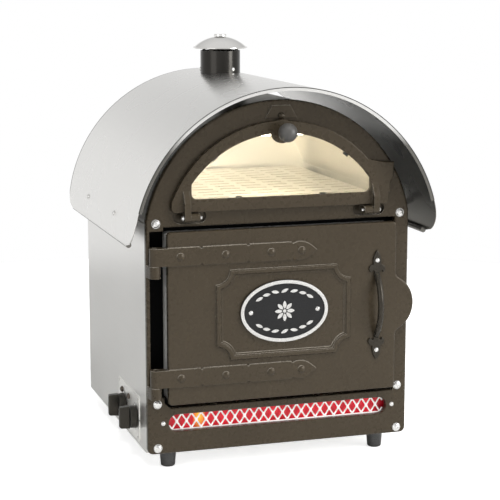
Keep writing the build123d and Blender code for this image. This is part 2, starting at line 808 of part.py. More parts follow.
with BuildPart() as flue_sleeve:
    with BuildSketch(Plane.XY.offset(sleeve_bottom)):
        with Locations((0, chimney_y)):
            Circle(sleeve_radius)
            Circle(sleeve_radius - sheet, mode=Mode.SUBTRACT)
    extrude(amount=sleeve_top - sleeve_bottom)
    with Locations(*chimney_screw_places):
        Cylinder(small_shank_radius, 8 * sheet, mode=Mode.SUBTRACT)
flue_sleeve.part.label = "flue_sleeve"
export_step(flue_sleeve.part, "parts/flue_sleeve.step")

with BuildPart() as chimney_tube:
    with BuildSketch(Plane.XY.offset(roof_axis_z)):
        with Locations((0, chimney_y)):
            Circle(chimney_radius)
            Circle(chimney_radius - sheet, mode=Mode.SUBTRACT)
    extrude(amount=chimney_top - roof_axis_z)
    with Locations(Location((0, chimney_y, roof_axis_z), (90, 0, 0))):
        Cylinder(roof_radius + 0.1, 4 * chimney_radius, mode=Mode.SUBTRACT)
    with Locations(*chimney_screw_places):
        Cylinder(small_shank_radius, 8 * sheet, mode=Mode.SUBTRACT)
chimney_tube.part.label = "chimney_tube"
export_step(chimney_tube.part, "parts/chimney_tube.step")

chimney_screw = dome_screw(small_head_radius, small_head_height, small_shank_radius, 3 * sheet)
with BuildPart() as chimney_screws:
    with Locations(*chimney_screw_places):
        add(chimney_screw)
    with BuildSketch(Plane.XY.offset(chimney_screw_z - 2 * small_head_radius)):
        with Locations((0, chimney_y)):
            Circle(chimney_radius + 0.02)
            Circle(chimney_radius - 1.5 * sheet, mode=Mode.SUBTRACT)
    extrude(amount=4 * small_head_radius, mode=Mode.SUBTRACT)
    with Locations(*[place.offset(-3 * sheet) for place in chimney_screw_places]):
        Cylinder(small_shank_radius, 3 * sheet + 0.5,
                 align=(Align.CENTER, Align.CENTER, Align.MIN))
chimney_screws.part.label = "chimney_screws"
export_step(chimney_screws.part, "parts/chimney_screws.step")

cowl_rim_z = chimney_top + cowl_gap
cowl_apex = cowl_rim_z + cowl_rise
cowl_radius = chimney_radius + cowl_overhang
cowl_curve = (cowl_radius ** 2 + cowl_rise ** 2) / (2 * cowl_rise)
cowl_centre_z = cowl_apex - cowl_curve
cowl_axis = Axis((0, chimney_y, 0), (0, 0, 1))


def cowl_height(radius, curve):
    """Height of the cowl's spherical surface at a radius from the chimney's axis."""
    return cowl_centre_z + sqrt(curve ** 2 - radius ** 2)


dome_edge = cowl_radius - cowl_rim_radius
inner_curve = cowl_curve - cowl_thickness
with BuildPart() as cowl_dome:
    with BuildSketch(Plane.XZ.offset(-chimney_y)):
        with BuildLine():
            Line((finial_stud_radius, cowl_height(finial_stud_radius, inner_curve)),
                 (finial_stud_radius, cowl_height(finial_stud_radius, cowl_curve)))
            ThreePointArc((finial_stud_radius, cowl_height(finial_stud_radius, cowl_curve)),
                          (dome_edge / 2, cowl_height(dome_edge / 2, cowl_curve)),
                          (dome_edge, cowl_height(dome_edge, cowl_curve)))
            Line((dome_edge, cowl_height(dome_edge, cowl_curve)),
                 (dome_edge, cowl_height(dome_edge, inner_curve)))
            ThreePointArc((dome_edge, cowl_height(dome_edge, inner_curve)),
                          (dome_edge / 2, cowl_height(dome_edge / 2, inner_curve)),
                          (finial_stud_radius, cowl_height(finial_stud_radius, inner_curve)))
        make_face()
        with Locations((dome_edge, cowl_height(dome_edge, cowl_curve) - cowl_thickness / 2)):
            Circle(cowl_rim_radius)
    revolve(axis=cowl_axis)
cowl_dome.part.label = "cowl_dome"
export_step(cowl_dome.part, "parts/cowl_dome.step")

strap_reach = chimney_radius - sheet - 0.1
bar_corner = sqrt(strap_reach ** 2 + (cowl_strap_width / 2) ** 2)
cowl_bar_top = cowl_height(bar_corner, inner_curve) - cowl_bar_gap
with BuildPart() as cowl_bracket:
    for turn in (45, 135):
        with Locations(Location((0, chimney_y, cowl_bar_top), (0, 0, turn))):
            Box(2 * strap_reach - 1, cowl_strap_width, cowl_strap_thickness,
                align=(Align.CENTER, Align.CENTER, Align.MAX))
        for end in (0, 180):
            with Locations(Location((0, chimney_y, cowl_bar_top), (0, 0, turn + end))
                           * Pos(strap_reach - 0.5, 0, 0)):
                Box(cowl_strap_thickness, cowl_strap_width, cowl_strap_drop,
                    align=(Align.MAX, Align.CENTER, Align.MAX))
    with Locations((0, chimney_y, cowl_bar_top)):
        Cylinder(finial_stud_radius, 8 * sheet, mode=Mode.SUBTRACT)
cowl_bracket.part.label = "cowl_bracket"
export_step(cowl_bracket.part, "parts/cowl_bracket.step")

with BuildPart() as cowl_finial:
    with Locations((0, chimney_y, cowl_apex)):
        Cylinder(finial_radius, finial_height, align=(Align.CENTER, Align.CENTER, Align.MIN))
        chamfer(cowl_finial.edges().filter_by(GeomType.CIRCLE).group_by(Axis.Z)[-1], 0.8)
    with Locations((0, chimney_y, cowl_bar_top - 3)):
        Cylinder(finial_stud_radius, cowl_apex - cowl_bar_top + 3,
                 align=(Align.CENTER, Align.CENTER, Align.MIN))
    with BuildSketch(Plane.XY.offset(cowl_bar_top - cowl_strap_thickness - 3)):
        with Locations((0, chimney_y)):
            RegularPolygon(2 * finial_stud_radius, 6)
    extrude(amount=3)
cowl_finial.part.label = "cowl_finial"
export_step(cowl_finial.part, "parts/cowl_finial.step")

# ================================================================ oven inside
tray_left = channel_left - sheet
tray_right = opening_right + sheet
tray_bottom = opening_bottom - sheet
tray_top = opening_top + sheet
with BuildPart() as mouth_frame:
    with Locations(((tray_left + tray_right) / 2, behind_fascia, (tray_bottom + tray_top) / 2)):
        Box(tray_right - tray_left, recess_depth + sheet, tray_top - tray_bottom,
            align=(Align.CENTER, Align.MIN, Align.CENTER))
        Box(tray_right - tray_left - 2 * sheet, recess_depth, tray_top - tray_bottom - 2 * sheet,
            align=(Align.CENTER, Align.MIN, Align.CENTER), mode=Mode.SUBTRACT)
    with Locations((0, mouth_front, (cavity_bottom + cavity_top) / 2)):
        Box(2 * cavity_half, 4 * sheet, cavity_top - cavity_bottom, mode=Mode.SUBTRACT)
mouth_frame.part.label = "mouth_frame"
export_step(mouth_frame.part, "parts/mouth_frame.step")

cavity_length = cavity_back - cavity_front
cavity_height = cavity_top - cavity_bottom
element_tails = [(side * element_tail_offset, z)
                 for side in (-1, 1)
                 for z in (cavity_top - top_element_drop, cavity_bottom + bottom_element_rise)]
probe_z = cavity_top - probe_drop
probe_x = cavity_half - 20

with BuildPart() as oven_liner:
    with Locations((0, cavity_front, cavity_bottom - liner_sheet)):
        Box(2 * (cavity_half + liner_sheet), cavity_length + liner_sheet,
            cavity_height + 2 * liner_sheet, align=(Align.CENTER, Align.MIN, Align.MIN))
    with Locations((0, cavity_front, cavity_bottom)):
        Box(2 * cavity_half, cavity_length, cavity_height,
            align=(Align.CENTER, Align.MIN, Align.MIN), mode=Mode.SUBTRACT)
    with Locations(*[facing_back(x, cavity_back, z) for x, z in element_tails]):
        Cylinder(element_radius + 0.1, 8 * liner_sheet, mode=Mode.SUBTRACT)
    with Locations(facing_back(probe_x, cavity_back, probe_z)):
        Cylinder(probe_radius + 0.1, 8 * liner_sheet, mode=Mode.SUBTRACT)
oven_liner.part.label = "oven_liner"
export_step(oven_liner.part, "parts/oven_liner.step")

wrap_half = cavity_half + liner_sheet + 0.1
wrap_height = cavity_height + 2 * liner_sheet + 0.2
wrap_length = cavity_length + liner_sheet + 0.1
with BuildPart() as oven_insulation:
    with Locations((0, cavity_front + 1, cavity_bottom + cavity_height / 2)):
        Box(2 * (wrap_half + insulation_thickness), wrap_length + insulation_thickness,
            wrap_height + 2 * insulation_thickness,
            align=(Align.CENTER, Align.MIN, Align.CENTER))
    with Locations((0, cavity_front, cavity_bottom + cavity_height / 2)):
        Box(2 * wrap_half, wrap_length, wrap_height, align=(Align.CENTER, Align.MIN, Align.CENTER),
            mode=Mode.SUBTRACT)
    with Locations(*[facing_back(x, cavity_back, z) for x, z in element_tails]):
        Cylinder(element_radius + 0.3, 4 * insulation_thickness, mode=Mode.SUBTRACT)
    with Locations(facing_back(probe_x, cavity_back, probe_z)):
        Cylinder(probe_radius + 0.3, 4 * insulation_thickness, mode=Mode.SUBTRACT)
oven_insulation.part.label = "oven_insulation"
export_step(oven_insulation.part, "parts/oven_insulation.step")

runner_length = cavity_length - 2 * shelf_front_margin
ledge_heights = [cavity_bottom + height for height in (crumb_tray_rise, *shelf_heights)]
runner_bottom = cavity_bottom + runner_start
runner_top = ledge_heights[-1] + runner_rise
with BuildPart() as shelf_runners:
    for side in (-1, 1):
        against_wall = Align.MAX if side > 0 else Align.MIN
        with Locations((side * cavity_half, cavity_front + shelf_front_margin, runner_bottom)):
            Box(runner_thickness, runner_length, runner_top - runner_bottom,
                align=(against_wall, Align.MIN, Align.MIN))
        for height in ledge_heights:
            with Locations((side * cavity_half, cavity_front + shelf_front_margin, height)):
                Box(runner_depth, runner_length, runner_thickness,
                    align=(against_wall, Align.MIN, Align.MAX))
shelf_runners.part.label = "shelf_runners"
export_step(shelf_runners.part, "parts/shelf_runners.step")

shelf_half = cavity_half - runner_thickness - shelf_margin
shelf_start = cavity_front + shelf_front_margin + shelf_margin
shelf_end = cavity_back - shelf_front_margin
shelf_middle = (shelf_start + shelf_end) / 2
wire_count = int((2 * shelf_half - 4 * rod_radius) // wire_pitch)
with BuildPart() as wire_shelves:
    for height in shelf_heights:
        rod_z = cavity_bottom + height + rod_radius + 0.1
        with BuildSketch(Plane.XY.offset(rod_z - rod_radius)):
            with Locations((0, shelf_middle)):
                RectangleRounded(2 * shelf_half, shelf_end - shelf_start, 12)
                RectangleRounded(2 * shelf_half - 4 * rod_radius,
                                 shelf_end - shelf_start - 4 * rod_radius, 7, mode=Mode.SUBTRACT)
        extrude(amount=2 * rod_radius)
        with Locations((0, shelf_middle, rod_z)):
            with GridLocations(wire_pitch, 1, wire_count, 1):
                Cylinder(wire_radius, shelf_end - shelf_start - 2 * rod_radius,
                         rotation=(90, 0, 0))
            Cylinder(wire_radius, 2 * shelf_half - 2 * rod_radius, rotation=(0, 90, 0))
wire_shelves.part.label = "wire_shelves"
export_step(wire_shelves.part, "parts/wire_shelves.step")

tray_z = cavity_bottom + crumb_tray_rise + 0.1
with BuildPart() as crumb_tray:
    with Locations((0, shelf_middle, tray_z)):
        Box(2 * shelf_half, shelf_end - shelf_start, crumb_tray_height,
            align=(Align.CENTER, Align.CENTER, Align.MIN))
    with Locations((0, shelf_middle, tray_z + liner_sheet)):
        Box(2 * (shelf_half - liner_sheet), shelf_end - shelf_start - 2 * liner_sheet,
            crumb_tray_height, align=(Align.CENTER, Align.CENTER, Align.MIN), mode=Mode.SUBTRACT)
crumb_tray.part.label = "crumb_tray"
export_step(crumb_tray.part, "parts/crumb_tray.step")


def heating_element(height):
    """One bent tube: in through the back wall, three loops over the cavity, and out again."""
    near = cavity_front + element_end_margin
    far = cavity_back - element_end_margin
    wide = cavity_half - element_side_margin
    tail = cavity_back + element_tail
    middle_far = far - 2 * element_bend_radius - 10
    with BuildPart() as element:
        with BuildLine(Plane.XY.offset(height)) as route:
            FilletPolyline((-element_tail_offset, tail), (-element_tail_offset, far),
                           (-wide, far), (-wide, near), (-element_tail_offset, near),
                           (-element_tail_offset, middle_far), (element_tail_offset, middle_far),
                           (element_tail_offset, near), (wide, near), (wide, far),
                           (element_tail_offset, far), (element_tail_offset, tail),
                           radius=element_bend_radius)
        with BuildSketch(Plane(route.line @ 0, z_dir=route.line % 0)):
            Circle(element_radius)
        sweep(path=route.line)
    return element.part


with BuildPart() as top_element:
    add(heating_element(cavity_top - top_element_drop))
top_element.part.label = "top_element"
export_step(top_element.part, "parts/top_element.step")

with BuildPart() as bottom_element:
    add(heating_element(cavity_bottom + bottom_element_rise))
bottom_element.part.label = "bottom_element"
export_step(bottom_element.part, "parts/bottom_element.step")

with BuildPart() as thermostat_probe:
    with Locations(facing_back(probe_x, cavity_back + element_tail, probe_z)):
        Cylinder(probe_radius, probe_length, align=(Align.CENTER, Align.CENTER, Align.MAX))
    fillet(thermostat_probe.edges().filter_by(GeomType.CIRCLE).sort_by(Axis.Y)[0],
           0.6 * probe_radius)
thermostat_probe.part.label = "thermostat_probe"
export_step(thermostat_probe.part, "parts/thermostat_probe.step")

# ================================================================ display compartment
display_length = display_back - display_front
with BuildPart() as display_liner:
    extrude(arched_outline(front_plane(display_front), display_half + liner_sheet,
                           display_bottom - liner_sheet, display_side_top,
                           display_top + liner_sheet), amount=-(display_length + liner_sheet))
    extrude(arched_outline(front_plane(display_front), display_half, display_bottom,
                           display_side_top, display_top),
            amount=-display_length, mode=Mode.SUBTRACT)
    with Locations((0, chimney_y, display_top)):
        Cylinder(sleeve_radius + hole_clearance, sleeve_radius, mode=Mode.SUBTRACT)
display_liner.part.label = "display_liner"
export_step(display_liner.part, "parts/display_liner.step")

deck_half = display_half - deck_side_margin
deck_start = display_front + deck_front_margin
deck_length = display_length - deck_front_margin - deck_back_margin
deck_top = display_bottom + deck_height
with BuildPart() as display_deck:
    with Locations((0, deck_start, display_bottom + 0.1)):
        Box(2 * deck_half, deck_length, deck_height - 0.1,
            align=(Align.CENTER, Align.MIN, Align.MIN))
        Box(2 * (deck_half - sheet), deck_length - 2 * sheet, deck_height - 0.1 - sheet,
            align=(Align.CENTER, Align.MIN, Align.MIN), mode=Mode.SUBTRACT)
    with Locations((0, deck_start + deck_length / 2, deck_top - sheet / 2)):
        with GridLocations(2 * deck_half / deck_columns, deck_length / deck_rows,
                           deck_columns, deck_rows):
            Box(deck_slot_length, deck_slot_width, 4 * sheet, mode=Mode.SUBTRACT)
display_deck.part.label = "display_deck"
export_step(display_deck.part, "parts/display_deck.step")

lamp_y = face + lamp_depth
lamp_z = display_top - lamp_drop
with BuildPart() as display_lamp:
    with Locations((0, lamp_y, lamp_z)):
        Cylinder(lamp_radius, 2 * lamp_half_length, rotation=(0, 90, 0))
display_lamp.part.label = "display_lamp"
export_step(display_lamp.part, "parts/display_lamp.step")

with BuildPart() as lamp_holders:
    for side in (-1, 1):
        outward = Align.MIN if side > 0 else Align.MAX
        with Locations((side * (lamp_half_length + 0.1), lamp_y, lamp_z)):
            Box(lamp_holder_size, lamp_holder_size, lamp_holder_size,
                align=(outward, Align.CENTER, Align.CENTER))
        with Locations((side * (lamp_half_length + lamp_holder_size / 2), lamp_y, lamp_z)):
            Box(lamp_holder_size / 2, lamp_holder_size / 2, 2 * lamp_drop,
                align=(Align.CENTER, Align.CENTER, Align.MIN))
    extrude(arched_outline(front_plane(display_front), display_half - 0.1,
                           display_bottom, display_side_top, display_top - 0.1),
            amount=-display_length, mode=Mode.INTERSECT)
lamp_holders.part.label = "lamp_holders"
export_step(lamp_holders.part, "parts/lamp_holders.step")

# ================================================================ glow slot
mesh_half = slot_length / 2 + mesh_margin
mesh_height = slot_height + 2 * mesh_margin
mesh_columns = 2 * int(mesh_half / mesh_pitch - 0.5) + 1


def diamond(width, height):
    """Upright diamond centred on the sketch's own origin."""
    with BuildSketch() as shape:
        with BuildLine():
            Polyline((-width / 2, 0), (0, -height / 2), (width / 2, 0), (0, height / 2),
                     close=True)
        make_face()
    return shape.sketch


mesh_hole = diamond(mesh_pitch - mesh_strand, mesh_diamond_height - 1.8 * mesh_strand)
with BuildPart() as slot_mesh:
    with BuildSketch(front_plane(behind_fascia)):
        with Locations((0, slot_z)):
            Rectangle(2 * mesh_half, mesh_height)
            for rows, columns in ((1, mesh_columns), (2, mesh_columns - 1)):
                with GridLocations(mesh_pitch, mesh_diamond_height, columns, rows):
                    add(mesh_hole, mode=Mode.SUBTRACT)
            with GridLocations(1, mesh_height - mesh_border, 1, 2):
                Rectangle(2 * mesh_half, mesh_border)
    extrude(amount=-mesh_thickness)
slot_mesh.part.label = "slot_mesh"
export_step(slot_mesh.part, "parts/slot_mesh.step")

panel_y = behind_fascia + mesh_thickness + glow_panel_gap
with BuildPart() as glow_panel:
    with Locations((0, panel_y, slot_z)):
        Box(2 * mesh_half, glow_panel_thickness, mesh_height,
            align=(Align.CENTER, Align.MIN, Align.CENTER))
glow_panel.part.label = "glow_panel"
export_step(glow_panel.part, "parts/glow_panel.step")

glow_lamp_y = face + glow_lamp_depth
with BuildPart() as glow_lamp:
    with Locations((0, glow_lamp_y, slot_z)):
        Cylinder(glow_lamp_radius, 2 * glow_lamp_half_length, rotation=(0, 90, 0))
glow_lamp.part.label = "glow_lamp"
export_step(glow_lamp.part, "parts/glow_lamp.step")

with BuildPart() as glow_lamp_holders:
    for side in (-1, 1):
        outward = Align.MIN if side > 0 else Align.MAX
        with Locations((side * (glow_lamp_half_length + 0.1), glow_lamp_y, slot_z)):
            Box(lamp_cap_length, 2.6 * glow_lamp_radius, 2.6 * glow_lamp_radius,
                align=(outward, Align.CENTER, Align.CENTER))
        with Locations((side * (glow_lamp_half_length + 0.1), glow_lamp_y,
                        base_floor + sheet + 0.1)):
            Box(lamp_cap_length, glow_lamp_radius, slot_z - base_floor - sheet,
                align=(outward, Align.CENTER, Align.MIN))
glow_lamp_holders.part.label = "glow_lamp_holders"
export_step(glow_lamp_holders.part, "parts/glow_lamp_holders.step")

# ================================================================ hinge pins
with BuildPart() as door_hinge_pins:
    for middle in strap_middles:
        lug_bottom = middle - knuckle_height / 2 - side_clearance - lug_height
        with Locations((hinge_x, hinge_y, lug_bottom)):
            Cylinder(hinge_pin_radius,
                     lug_height + side_clearance + knuckle_height - hinge_pin_short,
                     align=(Align.CENTER, Align.CENTER, Align.MIN))
door_hinge_pins.part.label = "door_hinge_pins"
export_step(door_hinge_pins.part, "parts/door_hinge_pins.step")

pin_outer = arm_offset + arm_width / 2 + side_clearance
pin_length = pin_outer - lug_inner + window_pin_tail
window_pin = dome_screw(window_pin_head_radius, window_pin_head_height, window_pin_radius,
                        pin_length)
with BuildPart() as window_hinge_pins:
    with Locations(*[Plane(origin=(side * pin_outer, window_hinge_y, window_hinge_z),
                           x_dir=(0, 1, 0), z_dir=(side, 0, 0)) for side in (-1, 1)]):
        add(window_pin)
window_hinge_pins.part.label = "window_hinge_pins"
export_step(window_hinge_pins.part, "parts/window_hinge_pins.step")

# ================================================================ oven door casting
door_plane = front_plane(door_front)


def notched_outline(inset):
    """The moulding's outline, drawn a bit further in: corners cut back by quarter circles."""
    with BuildSketch(door_plane) as outline:
        with Locations((0, moulding_middle_z)):
            Rectangle(2 * (moulding_half_width - inset), 2 * (moulding_half_height - inset))
            with GridLocations(2 * moulding_half_width, 2 * moulding_half_height, 2, 2):
                Circle(moulding_notch + inset, mode=Mode.SUBTRACT)
    return outline.sketch


def strap_outline(middle):
    """Strap hinge: a bar with small notches, ending in a pointed spear, clear of the badge."""
    half = strap_height / 2
    neck = door_left + strap_neck
    with BuildSketch(door_plane) as outline:
        with Locations((door_left, middle)):
            Rectangle(strap_neck, strap_height, align=(Align.MIN, Align.CENTER))
        with BuildLine():
            for side in (-1, 1):
                Spline((neck - 1, middle + side * (half - 3)),
                       (neck + 0.38 * spear_length, middle + side * half),
                       (neck + spear_length, middle),
                       tangents=((1, side * 0.6), (1, -side * 0.85)))
            Line((neck - 1, middle - half + 3), (neck - 1, middle + half - 3))
        make_face()
        with Locations(*[(door_left + x, middle + side * half)
                         for x in strap_notches + (strap_neck,) for side in (-1, 1)]):
            Circle(notch_radius, mode=Mode.SUBTRACT)
        with Locations((0, badge_z)):
            Ellipse(badge_width / 2 + side_clearance, badge_height / 2 + side_clearance,
                    mode=Mode.SUBTRACT)
    return outline.sketch


strap_back = door_thickness + strap_raise
rivet = dome_screw(rivet_radius, rivet_raise, rivet_radius / 2, strap_raise)
with BuildPart() as moulding:
    extrude(notched_outline(0), amount=moulding_raise)
    extrude(notched_outline(moulding_width), amount=moulding_raise, mode=Mode.SUBTRACT)
    chamfer(moulding.faces().sort_by(Axis.Y)[0].edges(), moulding_bevel)
    extrude(notched_outline(moulding_width), amount=moulding_step_raise)
    extrude(notched_outline(moulding_width + moulding_step_width), amount=moulding_step_raise,
            mode=Mode.SUBTRACT)
    with BuildSketch(front_plane(door_front - 2 * moulding_raise)):
        with Locations((0, badge_z)):
            Ellipse(badge_width / 2 + side_clearance, badge_height / 2 + side_clearance)
    extrude(amount=-4 * moulding_raise, mode=Mode.SUBTRACT)

with BuildPart() as door_casting:
    with BuildSketch(door_plane) as door_sketch:
        with Locations((door_middle_x, door_middle_z)):
            Rectangle(door_right - door_left, door_top - door_bottom)
        fillet(door_sketch.vertices(), door_corner_radius)
        with Locations((door_right + tab_width - tab_radius, door_middle_z + tab_height)):
            Circle(tab_radius)
        fillet(door_sketch.vertices().filter_by_position(
            Axis.Y, door_middle_z + tab_height - tab_radius,
            door_middle_z + tab_height + tab_radius), tab_blend_radius)
    extrude(amount=-door_thickness)
    fillet(door_casting.faces().sort_by(Axis.Y)[0].edges(), door_edge_radius)
    add(moulding.part)
    for middle in strap_middles:
        extrude(strap_outline(middle), amount=strap_raise)
        extrude(round_hull(Plane.XY.offset(middle - knuckle_height / 2),
                           [(hinge_x, hinge_y, knuckle_radius)],
                           [(door_left + pan_inset / 3, door_back - strap_back / 2,
                             2 * pan_inset / 3, strap_back)]), amount=knuckle_height)
        with Locations((hinge_x, hinge_y, middle)):
            Cylinder(hinge_pin_radius + running_clearance, 2 * knuckle_height,
                     mode=Mode.SUBTRACT)
        with Locations(*[facing_front(door_left + x, door_front - strap_raise, middle)
                         for x in strap_rivets]):
            add(rivet)
    with Locations(*[facing_front(door_right - handle_from_edge, door_front,
                                  door_middle_z + tab_height + side * handle_screw_offset)
                     for side in (-1, 1)]):
        Cylinder(small_shank_radius, 3 * door_thickness, mode=Mode.SUBTRACT)
    with Locations(*[facing_front(side * badge_screw_offset, door_front, badge_z)
                     for side in (-1, 1)]):
        Cylinder(small_shank_radius, 3 * door_thickness, mode=Mode.SUBTRACT)
door_casting.part.label = "door_casting"
export_step(door_casting.part, "parts/door_casting.step")

pan_left = door_left + pan_inset
pan_right = door_right - pan_inset_top
pan_bottom = door_bottom + pan_inset_top
pan_top = door_top - pan_inset_top
pan_back = mouth_front - seal_gap - seal_thickness
pan_depth = pan_back - door_back
pan_middle = ((pan_left + pan_right) / 2, (pan_bottom + pan_top) / 2)
pan_width = pan_right - pan_left
pan_height = pan_top - pan_bottom
with BuildPart() as door_inner_pan:
    with BuildSketch(front_plane(door_back)):
        with Locations(pan_middle):
            RectangleRounded(pan_width, pan_height, pan_corner_radius)
    extrude(amount=-pan_depth)
    with BuildSketch(front_plane(door_back)):
        with Locations(pan_middle):
            RectangleRounded(pan_width - 2 * liner_sheet, pan_height - 2 * liner_sheet,
                             pan_corner_radius - liner_sheet)
    extrude(amount=-(pan_depth - liner_sheet), mode=Mode.SUBTRACT)
door_inner_pan.part.label = "door_inner_pan"
export_step(door_inner_pan.part, "parts/door_inner_pan.step")

with BuildPart() as door_insulation:
    with BuildSketch(front_plane(door_back + 2 * liner_sheet)):
        with Locations(pan_middle):
            RectangleRounded(pan_width - 4 * liner_sheet, pan_height - 4 * liner_sheet,
                             pan_corner_radius - 2 * liner_sheet)
    extrude(amount=-(pan_depth - 4 * liner_sheet))
door_insulation.part.label = "door_insulation"
export_step(door_insulation.part, "parts/door_insulation.step")

with BuildPart() as door_seal:
    with BuildSketch(front_plane(pan_back)):
        with Locations(pan_middle):
            RectangleRounded(pan_width - 2 * seal_inset, pan_height - 2 * seal_inset, 10)
            RectangleRounded(pan_width - 2 * (seal_inset + seal_width),
                             pan_height - 2 * (seal_inset + seal_width), 4, mode=Mode.SUBTRACT)
    extrude(amount=-seal_thickness)
    fillet(door_seal.faces().sort_by(Axis.Y)[-1].edges(), 0.35 * seal_thickness)
door_seal.part.label = "door_seal"
export_step(door_seal.part, "parts/door_seal.step")

# ---------------------------------------------------------------- pull handle
handle_x = door_right - handle_from_edge
handle_z = door_middle_z + tab_height


def leaf(length, width):
    """Pointed leaf lying along the sketch's own X."""
    with BuildSketch() as shape:
        with BuildLine():
            ThreePointArc((-length / 2, 0), (0, width / 2), (length / 2, 0))
            ThreePointArc((length / 2, 0), (0, -width / 2), (-length / 2, 0))
        make_face()
    return shape.sketch


def handle_plate(side):
    """Foot of the handle: a pointed leaf with the screw, two curled lobes and a collar."""
    spear_z = handle_z + side * (handle_half_length - plate_spear_length / 2)
    lobe_z = handle_z + side * (handle_half_length - plate_lobe_drop)
    curl_z = lobe_z - side * 0.8 * plate_lobe_radius
    collar_length = abs(lobe_z - handle_z) + plate_lobe_radius / 2 - grip_half_span + grip_radius
    with BuildSketch(door_plane) as plate:
        with Locations(Location((handle_x, spear_z), 90)):
            add(leaf(plate_spear_length, 2 * plate_spear_half_width))
        with Locations(*[(handle_x + mirror * plate_lobe_offset, lobe_z) for mirror in (-1, 1)]):
            Circle(plate_lobe_radius)
        with Locations(*[(handle_x + mirror * plate_lobe_offset, curl_z) for mirror in (-1, 1)]):
            Circle(plate_curl_radius, mode=Mode.SUBTRACT)
        with Locations((handle_x, handle_z + side * (grip_half_span - grip_radius))):
            Rectangle(2 * plate_collar_half_width, collar_length,
                      align=(Align.CENTER, Align.MIN if side > 0 else Align.MAX))
    return plate.sketch


with BuildPart() as door_handle:
    for side in (-1, 1):
        extrude(handle_plate(side), amount=handle_plate_thickness)
    grip_root = door_front - handle_plate_thickness / 2
    grip_middle = door_front - grip_standoff
    with BuildLine() as grip_route:
        ThreePointArc((handle_x, grip_root, handle_z + grip_half_span),
                      (handle_x, grip_middle, handle_z),
                      (handle_x, grip_root, handle_z - grip_half_span))
    with BuildSketch(Plane(grip_route.line @ 0, z_dir=grip_route.line % 0)):
        Circle(grip_radius)
    sweep(path=grip_route.line)
    with Locations((handle_x, door_front, handle_z)):
        Box(6 * grip_radius, 40, 2 * handle_half_length,
            align=(Align.CENTER, Align.MIN, Align.CENTER), mode=Mode.SUBTRACT)
    with Locations(*[facing_front(handle_x, door_front, handle_z + side * handle_screw_offset)
                     for side in (-1, 1)]):
        Cylinder(small_shank_radius, 3 * door_thickness, mode=Mode.SUBTRACT)
door_handle.part.label = "door_handle"
export_step(door_handle.part, "parts/door_handle.step")

door_screw = dome_screw(small_head_radius, small_head_height, small_shank_radius,
                        door_thickness)
with BuildPart() as door_handle_screws:
    with Locations(*[facing_front(handle_x, door_front - handle_plate_thickness,
                                  handle_z + side * handle_screw_offset) for side in (-1, 1)]):
        add(door_screw)
door_handle_screws.part.label = "door_handle_screws"
export_step(door_handle_screws.part, "parts/door_handle_screws.step")

# ---------------------------------------------------------------- oval badge
badge_front = door_front - badge_thickness
badge_field_plane = front_plane(badge_front)
petal = leaf(0.75 * rosette_radius, 0.34 * rosette_radius)
laurel_leaf = leaf(leaf_length, leaf_width)
with BuildPart() as badge_plate:
    with BuildSketch(door_plane):
        with Locations((0, badge_z)):
            Ellipse(badge_width / 2, badge_height / 2)
    extrude(amount=badge_thickness)
    with BuildSketch(badge_field_plane):
        with Locations((0, badge_z)):
            Ellipse(badge_width / 2, badge_height / 2)
            Ellipse(badge_width / 2 - badge_rim, badge_height / 2 - badge_rim,
                    mode=Mode.SUBTRACT)
    extrude(amount=badge_rim_raise)
    fillet(badge_plate.faces().sort_by(Axis.Y)[0].edges(), 0.6)
    # eight-petal rosette inside a ring of leaves that leaves the two screws free
    with BuildSketch(badge_field_plane):
        with Locations((0, badge_z)):
            with PolarLocations(0.6 * rosette_radius, 8):
                add(petal)
            Circle(0.16 * rosette_radius)
        for index in range(leaf_count):
            angle = radians(360 * (index + 0.5) / leaf_count)
            ring_x = (badge_width / 2 - leaf_ring_inset) * cos(angle)
            ring_z = (badge_height / 2 - leaf_ring_inset) * sin(angle)
            if abs(ring_x) < badge_screw_offset - leaf_length:
                slope = degrees(angle) + 90 + 24 * (1 if sin(angle) > 0 else -1) * (
                    1 if cos(angle) > 0 else -1)
                with Locations(Location((ring_x, badge_z + ring_z), slope)):
                    add(laurel_leaf)
    extrude(amount=motif_raise)
    with Locations(*[facing_front(side * badge_screw_offset, door_front, badge_z)
                     for side in (-1, 1)]):
        Cylinder(small_shank_radius, 3 * door_thickness, mode=Mode.SUBTRACT)
badge_plate.part.label = "badge_plate"
export_step(badge_plate.part, "parts/badge_plate.step")

with BuildPart() as badge_screws:
    with Locations(*[facing_front(side * badge_screw_offset, badge_front, badge_z)
                     for side in (-1, 1)]):
        add(door_screw)
badge_screws.part.label = "badge_screws"
export_step(badge_screws.part, "parts/badge_screws.step")

